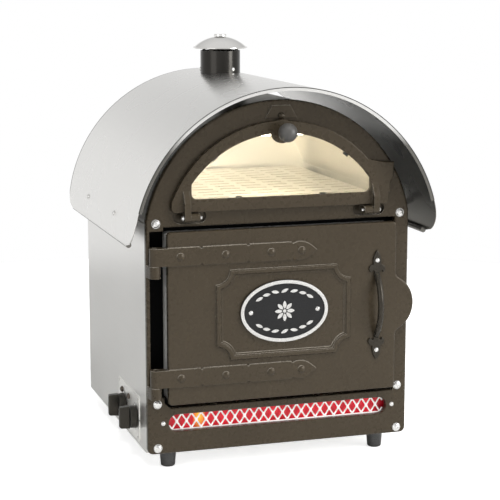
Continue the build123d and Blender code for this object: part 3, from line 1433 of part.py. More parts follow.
# ================================================================ display window door
with BuildPart() as window_frame:
    with BuildSketch(front_plane(window_back)):
        add(arched_outline(Plane.XY, window_half, window_bottom, window_side_top, window_top,
                           window_corner_radius))
        # ear and curled tongue on the right
        with BuildLine():
            ear_x = window_half + ear_reach
            Polyline((ear_x - ear_tongue, window_bottom + 20),
                     (window_half - 22, window_bottom + 7), (window_half - 40, ear_top))
            ThreePointArc((window_half - 40, ear_top), (window_half - 17, ear_top - 6),
                          (ear_x, ear_top - 8))
            Line((ear_x, ear_top - 8), (ear_x - 1, ear_top - 32))
            ThreePointArc((ear_x - 1, ear_top - 32), (ear_x - ear_tongue - 1, ear_top - 44),
                          (ear_x - ear_tongue, window_bottom + 20))
        make_face()
    extrude(amount=window_thickness)
    extrude(arched_outline(front_plane(window_back), glazed_half, glazed_bottom,
                           glazed_side_top, glazed_top, glazed_corner_radius),
            amount=window_thickness, mode=Mode.SUBTRACT)
    with BuildSketch(front_plane(window_back)):
        with Locations((0, boss_z)):
            Circle(boss_radius)
    extrude(amount=window_thickness)
    fillet(window_frame.faces().filter_by(Axis.Y).sort_by(Axis.Y)[0].edges(),
           window_edge_radius)
    extrude(arched_outline(front_plane(window_back), glazed_half + rebate_width,
                           glazed_bottom - rebate_width, glazed_side_top - rebate_width / 2,
                           glazed_top + rebate_width, glazed_corner_radius),
            amount=glass_thickness + 0.1, mode=Mode.SUBTRACT)
    for side in (-1, 1):
        extrude(round_hull(Plane.YZ.offset(side * arm_offset - arm_width / 2),
                           [(window_hinge_y, window_hinge_z, arm_eye_radius),
                            (face - arm_crown_forward, window_hinge_z + arm_crown_height,
                             arm_crown_radius),
                            (window_front + 1.5, window_hinge_z + arm_height - 1.5, 1.5)], []),
                amount=arm_width)
    with Locations((0, window_hinge_y, window_hinge_z)):
        Cylinder(window_pin_radius + running_clearance, 2 * body_width, rotation=(0, 90, 0),
                 mode=Mode.SUBTRACT)
    with Locations(facing_front(0, window_back, boss_z)):
        Cylinder(small_shank_radius + 1, 4 * window_thickness, mode=Mode.SUBTRACT)
window_frame.part.label = "window_frame"
export_step(window_frame.part, "parts/window_frame.step")

with BuildPart() as window_glass:
    extrude(arched_outline(front_plane(window_back), glazed_half + rebate_width - glass_clearance,
                           glazed_bottom - rebate_width + glass_clearance,
                           glazed_side_top - rebate_width / 2,
                           glazed_top + rebate_width - glass_clearance,
                           glazed_corner_radius), amount=glass_thickness)
    with Locations(facing_front(0, window_back, boss_z)):
        Cylinder(small_shank_radius + 2.5, 4 * glass_thickness, mode=Mode.SUBTRACT)
window_glass.part.label = "window_glass"
export_step(window_glass.part, "parts/window_glass.step")

rebate_rise = glazed_top - glazed_side_top + 1.5 * rebate_width
rebate_half = glazed_half + rebate_width
rebate_curve = (rebate_half ** 2 + rebate_rise ** 2) / (2 * rebate_rise)
rebate_centre_z = glazed_top + rebate_width - rebate_curve
clip_places = [Location((side * (rebate_curve + clip_overhang / 2) * sin(radians(clip_angle)),
                         window_back,
                         rebate_centre_z
                         + (rebate_curve + clip_overhang / 2) * cos(radians(clip_angle))),
                        (0, side * clip_angle, 0)) for side in (-1, 1)]
clip_places += [Location((side * clip_offset, window_back,
                          glazed_bottom - rebate_width - clip_overhang / 2), (0, 180, 0))
                for side in (-1, 1)]
with BuildPart() as glass_clips:
    for place in clip_places:
        with Locations(place * Pos(0, 0, clip_overhang / 2)):
            Box(clip_width, liner_sheet, clip_length, align=(Align.CENTER, Align.MIN, Align.MAX))
        with Locations(place * Location((0, liner_sheet, 0), (-90, 0, 0))):
            Cylinder(1.1, 1.4, align=(Align.CENTER, Align.CENTER, Align.MIN))
glass_clips.part.label = "glass_clips"
export_step(glass_clips.part, "parts/glass_clips.step")

ball_y = face - knob_ball_forward
with BuildPart() as window_knob:
    with Locations((0, ball_y, boss_z)):
        Sphere(knob_ball_radius)
    with Locations(facing_front(0, window_front, boss_z)):
        Cylinder(knob_neck_radius, window_front - ball_y,
                 align=(Align.CENTER, Align.CENTER, Align.MIN))
    with Locations(facing_front(0, window_back + liner_sheet, boss_z)):
        Cylinder(small_shank_radius + 0.9, window_front - ball_y,
                 align=(Align.CENTER, Align.CENTER, Align.MIN))
window_knob.part.label = "window_knob"
export_step(window_knob.part, "parts/window_knob.step")

# ================================================================ controls on the left side
plate_outside = -half_width - control_plate_thickness
plate_middle_y = face + control_plate_front + control_plate_length / 2
plate_middle_z = control_plate_bottom + control_plate_height / 2
with BuildPart() as control_plate:
    with BuildSketch(facing_left(-half_width, plate_middle_y, plate_middle_z)):
        RectangleRounded(control_plate_length, control_plate_height, control_plate_corner)
    extrude(amount=control_plate_thickness)
    with Locations(*[facing_left(-half_width, y, z) for y, z in control_places]):
        Cylinder(control_hole_radius, 8 * sheet, mode=Mode.SUBTRACT)
    with Locations(*[facing_left(-half_width, y, z) for y, z in indicator_places]):
        Cylinder(indicator_radius - 1.5 + hole_clearance, 8 * sheet, mode=Mode.SUBTRACT)
control_plate.part.label = "control_plate"
export_step(control_plate.part, "parts/control_plate.step")

plate_screw_places = [(plate_middle_y + side_y * (control_plate_length / 2 - 6),
                       plate_middle_z + side_z * (control_plate_height / 2 - 6))
                      for side_y in (-1, 1) for side_z in (-1, 1)]
with BuildPart() as control_plate_screws:
    with Locations(*[facing_left(plate_outside, y, z) for y, z in plate_screw_places]):
        Cylinder(0.7 * small_head_radius, 0.6 * small_head_height,
                 align=(Align.CENTER, Align.CENTER, Align.MIN))
control_plate_screws.part.label = "control_plate_screws"
export_step(control_plate_screws.part, "parts/control_plate_screws.step")

knob_outside = plate_outside - control_knob_gap - control_knob_reach


def control_body(y, z):
    """Switch block behind the side panel, with its shaft coming out through the plate."""
    with BuildPart() as body:
        with Locations((-inner_half + 0.1, y, z)):
            Box(control_body_depth, control_body_size, control_body_size,
                align=(Align.MIN, Align.CENTER, Align.CENTER))
        with Locations(facing_left(-inner_half + 1, y, z)):
            Cylinder(control_hole_radius - 0.3, sheet + control_plate_thickness + 1,
                     align=(Align.CENTER, Align.CENTER, Align.MIN))
            Cylinder(control_shaft_radius, -inner_half + 1 - knob_outside - control_shaft_end,
                     align=(Align.CENTER, Align.CENTER, Align.MIN))
    return body.part


with BuildPart() as thermostat_body:
    add(control_body(*control_places[0]))
thermostat_body.part.label = "thermostat_body"
export_step(thermostat_body.part, "parts/thermostat_body.step")

with BuildPart() as timer_body:
    add(control_body(*control_places[1]))
timer_body.part.label = "timer_body"
export_step(timer_body.part, "parts/timer_body.step")


def control_knob(y, z):
    """Round skirt with an upright grip bar, bored for the shaft."""
    with BuildPart() as knob:
        with BuildSketch(facing_left(plate_outside - control_knob_gap, y, z)):
            Circle(control_knob_radius)
        extrude(amount=control_skirt_depth)
        chamfer(knob.faces().sort_by(Axis.X)[0].edges(), 2.0)
        with BuildSketch(facing_left(plate_outside - control_knob_gap, y, z)) as grip:
            Rectangle(control_grip_width, 2 * control_knob_radius)
            fillet(grip.vertices(), 3.5)
        extrude(amount=control_knob_reach)
        fillet(knob.faces().sort_by(Axis.X)[0].edges(), 2.0)
        with Locations(facing_left(plate_outside, y, z)):
            Cylinder(control_shaft_radius + running_clearance,
                     control_knob_gap + control_knob_reach - control_shaft_end + 0.5,
                     align=(Align.CENTER, Align.CENTER, Align.MIN), mode=Mode.SUBTRACT)
    return knob.part


with BuildPart() as thermostat_knob:
    add(control_knob(*control_places[0]))
thermostat_knob.part.label = "thermostat_knob"
export_step(thermostat_knob.part, "parts/thermostat_knob.step")

with BuildPart() as timer_knob:
    add(control_knob(*control_places[1]))
timer_knob.part.label = "timer_knob"
export_step(timer_knob.part, "parts/timer_knob.step")

indicator_dome = dome_screw(indicator_radius, indicator_raise, indicator_radius - 1.5, 10)
with BuildPart() as indicator_lamps:
    with Locations(*[facing_left(plate_outside, y, z) for y, z in indicator_places]):
        add(indicator_dome)
indicator_lamps.part.label = "indicator_lamps"
export_step(indicator_lamps.part, "parts/indicator_lamps.step")

# ================================================================ mains connection
with BuildPart() as cable_gland:
    with BuildSketch(facing_back(gland_offset, back, gland_height)):
        RegularPolygon(gland_radius, 6)
    extrude(amount=0.6 * gland_reach)
    with Locations(facing_back(gland_offset, back, gland_height)):
        Cylinder(0.8 * gland_radius, gland_reach, align=(Align.CENTER, Align.CENTER, Align.MIN))
    with Locations(facing_back(gland_offset, back - sheet - gland_nut_depth, gland_height)):
        Cylinder(gland_thread_radius, sheet + gland_nut_depth + 1,
                 align=(Align.CENTER, Align.CENTER, Align.MIN))
    with BuildSketch(facing_back(gland_offset, back - sheet - gland_nut_depth + 1,
                                 gland_height)):
        RegularPolygon(0.95 * gland_radius, 6)
    extrude(amount=gland_nut_depth - 1.1)
    with Locations(facing_back(gland_offset, back, gland_height)):
        Cylinder(gland_bore_radius, 8 * gland_reach, mode=Mode.SUBTRACT)
cable_gland.part.label = "cable_gland"
export_step(cable_gland.part, "parts/cable_gland.step")

with BuildPart() as terminal_block:
    with Locations((gland_offset - 60, back - 45, base_floor + sheet + 0.1)):
        Box(54, 22, 9, align=(Align.CENTER, Align.CENTER, Align.MIN))
    with Locations((gland_offset - 60, back - 45, base_floor + sheet + 9)):
        with GridLocations(17, 1, 3, 1):
            Box(12, 16, 9, align=(Align.CENTER, Align.CENTER, Align.MIN))
terminal_block.part.label = "terminal_block"
export_step(terminal_block.part, "parts/terminal_block.step")
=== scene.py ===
from math import asin, cos, pi, radians, sin, sqrt, tau

import bmesh
import bpy
from mathutils import Euler, Matrix, Vector


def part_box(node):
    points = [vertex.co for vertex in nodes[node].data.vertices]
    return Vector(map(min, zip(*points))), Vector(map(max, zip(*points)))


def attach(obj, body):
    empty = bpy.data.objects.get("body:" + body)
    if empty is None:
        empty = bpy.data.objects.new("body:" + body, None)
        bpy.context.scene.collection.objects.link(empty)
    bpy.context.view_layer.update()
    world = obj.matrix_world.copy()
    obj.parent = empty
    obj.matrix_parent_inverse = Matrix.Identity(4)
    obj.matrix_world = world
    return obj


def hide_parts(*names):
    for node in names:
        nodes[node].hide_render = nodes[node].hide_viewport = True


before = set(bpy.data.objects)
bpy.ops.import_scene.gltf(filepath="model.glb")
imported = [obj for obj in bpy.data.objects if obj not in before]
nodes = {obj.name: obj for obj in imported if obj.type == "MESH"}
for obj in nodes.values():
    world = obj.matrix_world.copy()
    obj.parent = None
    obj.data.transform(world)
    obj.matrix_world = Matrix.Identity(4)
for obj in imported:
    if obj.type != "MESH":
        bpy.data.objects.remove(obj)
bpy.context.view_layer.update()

# ------------------------------------------------------------------ cabinet shell
# Sides, back, top casing and base pan of the cabinet: folded stainless sheet with a fine
# straight grain. The sides slot behind the cast front and the back is screwed on.


def new_material(name):
    """An empty node material: the material, its tree and its main shader."""
    material = bpy.data.materials.new(name)
    material.use_nodes = True
    tree = material.node_tree
    return material, tree, tree.nodes["Principled BSDF"]


def add_node(tree, kind, settings=None, **values):
    """One shader or geometry node with its settings and plain socket values."""
    node = tree.nodes.new(kind)
    for key, value in (settings or {}).items():
        setattr(node, key, value)
    for key, value in values.items():
        node.inputs[key.replace("_", " ")].default_value = value
    return node


def plug(tree, value, socket):
    """Link an output, or set a plain value, on an input socket."""
    if isinstance(value, bpy.types.NodeSocket):
        tree.links.new(value, socket)
    else:
        socket.default_value = value


EVEN = (1.0, 1.0, 1.0)
GRAIN_ALONG_X = (0.02, 1.0, 1.0)
GRAIN_ALONG_Y = (1.0, 0.02, 1.0)


def stretched_noise(tree, stretch, scale, detail, roughness=0.6):
    """Noise on Object coordinates, drawn out along the axes with a small stretch value."""
    place = add_node(tree, "ShaderNodeTexCoord")
    mapping = add_node(tree, "ShaderNodeMapping", Scale=stretch)
    noise = add_node(tree, "ShaderNodeTexNoise", Scale=scale, Detail=detail, Roughness=roughness)
    tree.links.new(place.outputs["Object"], mapping.inputs["Vector"])
    tree.links.new(mapping.outputs["Vector"], noise.inputs["Vector"])
    return noise.outputs["Fac"]


def ramp(tree, value, stops):
    """Colour ramp over (position, colour) stops."""
    node = add_node(tree, "ShaderNodeValToRGB")
    while len(node.color_ramp.elements) < len(stops):
        node.color_ramp.elements.new(0.5)
    for element, (position, colour) in zip(node.color_ramp.elements, stops):
        element.position = position
        element.color = (*colour, 1.0)
    tree.links.new(value, node.inputs["Fac"])
    return node.outputs["Color"]


def mixed_colour(tree, amount, first, second):
    """The first colour where the amount is 0 and the second where it is 1."""
    node = add_node(tree, "ShaderNodeMix", {"data_type": "RGBA"})
    for value, index in ((amount, 0), (first, 6), (second, 7)):
        plug(tree, value, node.inputs[index])
    return node.outputs[2]


def remap(tree, value, low, high, to_low, to_high):
    """Carry a value from one range into another, held at both ends."""
    node = add_node(tree, "ShaderNodeMapRange", From_Min=low, From_Max=high, To_Min=to_low,
                    To_Max=to_high)
    tree.links.new(value, node.inputs["Value"])
    return node.outputs["Result"]


def bump(tree, shader, height, distance, strength):
    """Fine relief on the shader's normal; returns the node."""
    node = add_node(tree, "ShaderNodeBump", Distance=distance, Strength=strength)
    tree.links.new(height, node.inputs["Height"])
    tree.links.new(node.outputs["Normal"], shader.inputs["Normal"])
    return node


def wear(node_or_piece, material):
    """Give every material slot of an object this material."""
    data = node_or_piece.data
    data.materials.clear()
    data.materials.append(material)
    for polygon in data.polygons:
        polygon.material_index = 0


def brushed_stainless(name, stretch, tone, roughness=0.3):
    """Stainless sheet: long faint grain lines, soft clouds of handling and a satin gloss."""
    material, tree, shader = new_material(name)
    grain = stretched_noise(tree, stretch, 420.0, 1.0)
    clouds = stretched_noise(tree, EVEN, 5.0, 2.0)
    stops = ((0.3, tuple(c * 0.97 for c in tone)), (0.7, tuple(min(1.0, c * 1.02) for c in tone)))
    colour = mixed_colour(tree, 0.7, ramp(tree, grain, stops), ramp(tree, clouds, stops))
    tree.links.new(colour, shader.inputs["Base Color"])
    tree.links.new(remap(tree, clouds, 0.2, 0.8, roughness - 0.01, roughness + 0.02),
                   shader.inputs["Roughness"])
    bump(tree, shader, grain, 0.000006, 0.05)
    shader.inputs["Metallic"].default_value = 1.0
    return material


STAINLESS_TONE = (0.72, 0.712, 0.69)
side_steel = brushed_stainless("side_steel", GRAIN_ALONG_Y, STAINLESS_TONE)
wear(nodes["side_panel_left"], side_steel)
wear(nodes["side_panel_right"], side_steel)
wear(nodes["back_panel"], brushed_stainless("back_steel", GRAIN_ALONG_X, STAINLESS_TONE))
wear(nodes["base_pan"], brushed_stainless("base_steel", GRAIN_ALONG_X, (0.66, 0.65, 0.63)))
wear(nodes["top_casing"], brushed_stainless("casing_steel", GRAIN_ALONG_Y, STAINLESS_TONE))

# ------------------------------------------------------------------ roof
# Half-round stainless sheet with a rolled hem along both lower edges and a narrow flange
# turned in at the front. It stands off the cabinet on four brackets and four screws.
roof_steel = brushed_stainless("roof_steel", GRAIN_ALONG_Y, STAINLESS_TONE, 0.27)


def object_place(tree):
    """X, Y and Z of the object's own coordinates."""
    place = tree.nodes.new("ShaderNodeTexCoord")
    where = tree.nodes.new("ShaderNodeSeparateXYZ")
    tree.links.new(place.outputs["Object"], where.inputs[0])
    return where.outputs


def calc(tree, operation, *values):
    """One sum on sockets or plain values."""
    node = add_node(tree, "ShaderNodeMath", {"operation": operation})
    for value, socket in zip(values, node.inputs):
        plug(tree, value, socket)
    return node.outputs[0]


def plus(tree, first, second):
    return calc(tree, "ADD", first, second)


def minus(tree, first, second):
    return calc(tree, "SUBTRACT", first, second)


def times(tree, first, second):
    return calc(tree, "MULTIPLY", first, second)


def slant(tree, first, second):
    """Length of the slant over two sides that stand square to each other."""
    return calc(tree, "SQRT", plus(tree, times(tree, first, first), times(tree, second, second)))


def blend_tone(material, amount, tone):
    """Lay a tone over the material's colour where the amount is high."""
    tree = material.node_tree
    base = tree.nodes["Principled BSDF"].inputs["Base Color"]
    tree.links.new(mixed_colour(tree, amount, base.links[0].from_socket, (*tone, 1.0)), base)


ROOF_RADIUS = 0.252
ROOF_AXIS = 0.360
ROOF_SHEET = 0.0012
ROOF_FRONT, ROOF_BACK = -0.2525, 0.2525
ROOF_SKIRT = 0.370             # height of the lower edges
ROOF_FRONT_CORNER, ROOF_BACK_CORNER = 0.050, 0.032
ROOF_LIP = 0.006
HEM_RADIUS, HEM_X = 0.0045, 0.24701
HEM_START, HEM_END = -0.201, 0.219
CHIMNEY_Y = 0.1335
SLEEVE_HOLE = 0.034

# Painted shade on the folded back edge; inside, a painted reflection darker low down.
BACK_SHADE_START, BACK_SHADE_END = 0.2480, 0.2486
DARK_START, DARK_END = 0.545, 0.515
roof_finish = roof_steel.node_tree
roof_at = object_place(roof_finish)
# Painted shade: a dark band along the folded back edge.
blend_tone(roof_steel, remap(roof_finish, roof_at["Y"], BACK_SHADE_START, BACK_SHADE_END, 0.0, 1.0),
           (0.10, 0.098, 0.092))
roof_reach = slant(roof_finish, minus(roof_finish, roof_at["Z"], ROOF_AXIS), roof_at["X"])
inside = calc(roof_finish, "LESS_THAN", roof_reach, ROOF_RADIUS - 0.5 * ROOF_SHEET)
# Painted reflection: the inside darkens towards its lower edges, standing for the dark front it
# mirrors.
painted_reflection_low = remap(roof_finish, roof_at["Z"], DARK_START, DARK_END, 0.0, 0.9)
blend_tone(roof_steel, times(roof_finish, inside, painted_reflection_low), (0.09, 0.085, 0.072))


def shape_tree(name, *sizes):
    """An empty geometry tree with named sizes: the tree, its input and its output."""
    tree = bpy.data.node_groups.new(name, "GeometryNodeTree")
    tree.interface.new_socket("Geometry", in_out="INPUT", socket_type="NodeSocketGeometry")
    for size in sizes:
        kind = "NodeSocketInt" if size in ("Seed", "Columns") else "NodeSocketFloat"
        tree.interface.new_socket(size, in_out="INPUT", socket_type=kind)
    tree.interface.new_socket("Geometry", in_out="OUTPUT", socket_type="NodeSocketGeometry")
    return tree, tree.nodes.new("NodeGroupInput"), tree.nodes.new("NodeGroupOutput")


def combined(tree, x, y, z):
    """Three values as one vector."""
    node = tree.nodes.new("ShaderNodeCombineXYZ")
    for value, socket in zip((x, y, z), node.inputs):
        plug(tree, value, socket)
    return node.outputs[0]


def run_node(tree, kind, settings=None, **values):
    """A geometry node whose sockets are linked or set by name; returns the node."""
    node = tree.nodes.new(kind)
    for key, value in (settings or {}).items():
        setattr(node, key, value)
    for key, value in values.items():
        plug(tree, value, node.inputs[key.replace("_", " ")])
    return node


def moved(tree, geometry, **place):
    """Geometry moved, turned or sized by the Transform sockets named."""
    return run_node(tree, "GeometryNodeTransform", Geometry=geometry, **place).outputs[0]


def joined(tree, *parts):
    """Several parts as one geometry."""
    node = tree.nodes.new("GeometryNodeJoinGeometry")
    for part in parts:
        tree.links.new(part, node.inputs[0])
    return node.outputs[0]


def cut_out(tree, body, tool):
    """A closed body with the tool's shape taken out of it."""
    node = run_node(tree, "GeometryNodeMeshBoolean", {"operation": "DIFFERENCE"}, Mesh_1=body)
    tree.links.new(tool, node.inputs["Mesh 2"])
    return node.outputs["Mesh"]


def dressed(tree, geometry, group_out, material):
    """Smooth shading, real faces and this material at the end of a tree."""
    smooth = run_node(tree, "GeometryNodeSetShadeSmooth", Geometry=geometry)
    real = run_node(tree, "GeometryNodeRealizeInstances", Geometry=smooth.outputs[0])
    dress = run_node(tree, "GeometryNodeSetMaterial", Geometry=real.outputs[0])
    dress.inputs["Material"].default_value = material
    tree.links.new(dress.outputs[0], group_out.inputs["Geometry"])


def grown_piece(name, tree, base, sizes, body, *replaced):
    """Run a base mesh through a tree with these sizes and keep the result as a plain piece."""
    piece = bpy.data.objects.new(name, base)
    bpy.context.scene.collection.objects.link(piece)
    modifier = piece.modifiers.new("shape", "NODES")
    modifier.node_group = tree
    for item in tree.interface.items_tree:
        if item.in_out == "INPUT" and item.name in sizes:
            modifier[item.identifier] = sizes[item.name]
    view_of = bpy.context.evaluated_depsgraph_get()
    plain = bpy.data.meshes.new_from_object(piece.evaluated_get(view_of))
    piece.modifiers.remove(modifier)
    piece.data = plain
    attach(piece, body)
    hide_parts(*replaced)
    return piece


def thick_sheet(tree, surface, thickness):
    """A wall grown square to a surface, with the surface kept as its other face."""
    grown = run_node(tree, "GeometryNodeExtrudeMesh", Mesh=surface, Offset_Scale=thickness)
    grown.inputs["Individual"].default_value = False
    flipped = run_node(tree, "GeometryNodeFlipFaces", Mesh=surface)
    return run_node(tree, "GeometryNodeMergeByDistance",
                    Geometry=joined(tree, flipped.outputs[0], grown.outputs[0]),
                    Distance=0.00002).outputs[0]


def roof_tree():
    """Sheet bent round the ridge with its lower corners rounded, a front lip and two hems."""
    tree, given, result = shape_tree("bent_roof", "Radius", "Axis Height", "Front", "Back",
                                     "Skirt Height", "Front Corner", "Back Corner", "Thickness",
                                     "Lip", "Hem Radius", "Hem X", "Hem Start", "Hem End",
                                     "Chimney Y", "Hole Radius")
    size = given.outputs
    where = tree.nodes.new("ShaderNodeSeparateXYZ")
    tree.links.new(tree.nodes.new("GeometryNodeInputPosition").outputs[0], where.inputs[0])
    along = plus(tree, where.outputs[1], 0.5)
    skirt_rise = minus(tree, size["Skirt Height"], size["Axis Height"])

    def ridge_turn(rise):
        """Turn at this grid point, for a sheet that ends at this rise over the axis."""
        half = calc(tree, "ARCCOSINE", calc(tree, "DIVIDE", rise, size["Radius"]))
        return times(tree, where.outputs[0], half)

    def round_axis(reach, turn):
        """Sideways place and height at a reach from the axis and a turn from the ridge."""
        return (times(tree, reach, calc(tree, "SINE", turn)),
                plus(tree, size["Axis Height"], times(tree, reach, calc(tree, "COSINE", turn))))

    def bent_sheet(columns, rows, place):
        """A flat grid sent to its bent place and given the sheet's thickness."""
        grid = run_node(tree, "GeometryNodeMeshGrid", Size_X=2.0, Size_Y=1.0, Vertices_X=columns,
                        Vertices_Y=rows)
        bent = run_node(tree, "GeometryNodeSetPosition", Geometry=grid.outputs["Mesh"],
                        Position=place)
        return thick_sheet(tree, bent.outputs[0], times(tree, size["Thickness"], -1.0))

    across, height = round_axis(size["Radius"], ridge_turn(skirt_rise))
    above = minus(tree, height, size["Skirt Height"])

    def set_back(radius):
        """How far the edge is set back at this height by a rounded corner."""
        reach = calc(tree, "MAXIMUM", minus(tree, radius, above), 0.0)
        chord = minus(tree, times(tree, radius, radius), times(tree, reach, reach))
        return minus(tree, radius, calc(tree, "SQRT", calc(tree, "MAXIMUM", chord, 0.0)))

    start = plus(tree, size["Front"], set_back(size["Front Corner"]))
    end = minus(tree, size["Back"], set_back(size["Back Corner"]))
    depth = plus(tree, start, times(tree, along, minus(tree, end, start)))
    sheet = bent_sheet(181, 25, combined(tree, across, depth, height))
    drill = run_node(tree, "GeometryNodeMeshCylinder", Vertices=48, Radius=size["Hole Radius"],
                     Depth=0.08)
    ridge_height = plus(tree, size["Axis Height"], size["Radius"])
    holed = cut_out(tree, sheet, moved(tree, drill.outputs["Mesh"], Translation=combined(
        tree, 0.0, size["Chimney Y"], ridge_height)))

    lip_rise = plus(tree, skirt_rise, plus(tree, size["Front Corner"], size["Lip"]))
    lip_reach = minus(tree, size["Radius"], times(tree, size["Lip"], minus(tree, 0.98, along)))
    lip_across, lip_height = round_axis(lip_reach, ridge_turn(lip_rise))
    parts = [holed, bent_sheet(145, 3, combined(tree, lip_across, size["Front"], lip_height))]

    ring = run_node(tree, "GeometryNodeCurvePrimitiveCircle", Radius=size["Hem Radius"],
                    Resolution=20)
    for side in (-1.0, 1.0):
        hem_x = times(tree, size["Hem X"], side)
        line = run_node(tree, "GeometryNodeCurvePrimitiveLine",
                        Start=combined(tree, hem_x, size["Hem Start"], size["Skirt Height"]),
                        End=combined(tree, hem_x, size["Hem End"], size["Skirt Height"]))
        hem = run_node(tree, "GeometryNodeCurveToMesh", Curve=line.outputs[0],
                       Profile_Curve=ring.outputs["Curve"])
        hem.inputs["Fill Caps"].default_value = True
        parts.append(hem.outputs[0])
    dressed(tree, joined(tree, *parts), result, roof_steel)
    return tree


def sharpen(piece, limit):
    """Smooth shading, with edges steeper than the limit kept crisp."""
    piece.data.set_sharp_from_angle(angle=radians(limit))


roof_sizes = {
    "Radius": ROOF_RADIUS, "Axis Height": ROOF_AXIS, "Front": ROOF_FRONT, "Back": ROOF_BACK,
    "Skirt Height": ROOF_SKIRT, "Front Corner": ROOF_FRONT_CORNER,
    "Back Corner": ROOF_BACK_CORNER, "Thickness": ROOF_SHEET, "Lip": ROOF_LIP,
    "Hem Radius": HEM_RADIUS, "Hem X": HEM_X, "Hem Start": HEM_START, "Hem End": HEM_END,
    "Chimney Y": CHIMNEY_Y, "Hole Radius": SLEEVE_HOLE}
roof = grown_piece("roof_sheet", roof_tree(), bpy.data.meshes.new("roof_base"), roof_sizes,
                   "cabinet", "roof_canopy")
sharpen(roof, 40)


def bright_screw_steel(name, tone):
    """Plated screw head: bright, with fine duller specks and an uneven gloss."""
    material, tree, shader = new_material(name)
    specks = stretched_noise(tree, EVEN, 900.0, 3.0)
    dull = tuple(c * 0.7 for c in tone)
    tree.links.new(ramp(tree, specks, ((0.35, dull), (0.6, tone))), shader.inputs["Base Color"])
    tree.links.new(remap(tree, specks, 0.3, 0.7, 0.16, 0.34), shader.inputs["Roughness"])
    bump(tree, shader, specks, 0.00004, 0.2)
    shader.inputs["Metallic"].default_value = 1.0
    return material


screw_steel = bright_screw_steel("screw_steel", (0.82, 0.81, 0.79))


def screw_tree():
    """A domed head with a thin flange on each marked place, turned by chance about its axis."""
    tree, given, result = shape_tree("domed_screws", "Head Radius", "Head Height",
                                     "Flange Height", "Seed")
    size = given.outputs
    flange = run_node(tree, "GeometryNodeMeshCylinder", Vertices=28, Radius=size["Head Radius"],
                      Depth=size["Flange Height"])
    flange_place = moved(tree, flange.outputs["Mesh"], Translation=combined(
        tree, 0.0, 0.0, times(tree, size["Flange Height"], 0.5)))
    dome = run_node(tree, "GeometryNodeMeshUVSphere", Segments=28, Rings=14, Radius=1.0)
    dome_reach = times(tree, size["Head Radius"], 0.93)
    dome_place = moved(tree, dome.outputs["Mesh"],
                       Scale=combined(tree, dome_reach, dome_reach, size["Head Height"]))
    socket_cut = run_node(tree, "GeometryNodeMeshCylinder", Vertices=6,
                          Radius=times(tree, size["Head Radius"], 0.3),
                          Depth=times(tree, size["Head Height"], 0.5))
    socket_place = moved(tree, socket_cut.outputs["Mesh"],
                         Translation=combined(tree, 0.0, 0.0, size["Head Height"]))
    head = joined(tree, flange_place, cut_out(tree, dome_place, socket_place))
    facing = add_node(tree, "GeometryNodeInputNamedAttribute", {"data_type": "FLOAT_VECTOR"},
                      Name="facing")
    aligned = run_node(tree, "FunctionNodeAlignRotationToVector", {"axis": "Z"},
                       Vector=facing.outputs["Attribute"])
    placed = run_node(tree, "GeometryNodeInstanceOnPoints", Points=size["Geometry"],
                      Instance=head, Rotation=aligned.outputs[0])
    chance = run_node(tree, "FunctionNodeRandomValue", {"data_type": "FLOAT"}, Seed=size["Seed"])
    chance.inputs[3].default_value = tau
    spun = run_node(tree, "GeometryNodeRotateInstances", Instances=placed.outputs[0],
                    Rotation=combined(tree, 0.0, 0.0, chance.outputs[1]))
    dressed(tree, spun.outputs[0], result, screw_steel)
    return tree


def marked_places(name, places):
    """Loose points with the direction that each one faces."""
    base = bpy.data.meshes.new(name)
    base.from_pydata([place for place, _ in places], [], [])
    facing = base.attributes.new("facing", "FLOAT_VECTOR", "POINT")
    for entry, (_, direction) in zip(facing.data, places):
        entry.vector = direction
    return base


domed_screws = screw_tree()


def screws(name, places, radius, height, body, node, seed):
    """A group of like screw heads on one body, in place of the CAD's plain ones."""
    sizes = {"Head Radius": radius, "Head Height": height, "Flange Height": 0.2 * height,
             "Seed": seed}
    piece = grown_piece(name, domed_screws, marked_places(name + "_places", places), sizes,
                        body, node)
    sharpen(piece, 35)


BRACKET_DEPTHS = (-0.104, 0.0955)
ROOF_SCREW_HEIGHT = 0.406
ROOF_SCREW_RADIUS, ROOF_SCREW_DOME = 0.0045, 0.0026
roof_screw_turn = asin((ROOF_SCREW_HEIGHT - ROOF_AXIS) / ROOF_RADIUS)
screws("roof_screw_heads",
       [((side * ROOF_RADIUS * cos(roof_screw_turn), y, ROOF_SCREW_HEIGHT),
         (side * cos(roof_screw_turn), 0, sin(roof_screw_turn)))
        for side in (-1, 1) for y in BRACKET_DEPTHS],
       ROOF_SCREW_RADIUS, ROOF_SCREW_DOME, "cabinet", "roof_screws", 3)
for name in ("back_screws", "chimney_screws", "control_plate_screws"):
    wear(nodes[name], screw_steel)

# ------------------------------------------------------------------ chimney
# Short stainless tube on the roof's ridge with a domed cowl on a strap bracket and a
# turned finial. A sleeve inside leads the steam up from the display arch.
# Painted reflection: tube, sleeve and bracket are near black, standing for the dark surroundings
# they mirror.
tube_painted_dark_steel = brushed_stainless("tube_painted_dark_steel", (1.0, 1.0, 0.05), (0.036, 0.034, 0.031), 0.2)
cowl_steel = brushed_stainless("cowl_steel", EVEN, (0.74, 0.73, 0.71), 0.08)
for name in ("chimney_tube", "flue_sleeve", "cowl_bracket"):
    wear(nodes[name], tube_painted_dark_steel)
for name in ("cowl_dome", "cowl_finial"):
    wear(nodes[name], cowl_steel)

# ------------------------------------------------------------------ feet
# Four black moulded feet with a turned taper, screwed up into the base pan.


def moulded_plastic(name, tone, roughness, grain_scale, grain_depth):
    """Moulded plastic: an even colour with a fine spark-eroded grain."""
    material, tree, shader = new_material(name)
    grain = stretched_noise(tree, EVEN, grain_scale, 3.0)
    pale = tuple(min(1.0, c * 1.25 + 0.004) for c in tone)
    tree.links.new(ramp(tree, grain, ((0.3, tone), (0.75, pale))), shader.inputs["Base Color"])
    tree.links.new(remap(tree, grain, 0.3, 0.7, roughness - 0.05, roughness + 0.07),
                   shader.inputs["Roughness"])
    bump(tree, shader, grain, grain_depth, 0.4)
    return material


wear(nodes["feet"], moulded_plastic("foot_plastic", (0.035, 0.034, 0.033), 0.3, 700.0, 0.00003))

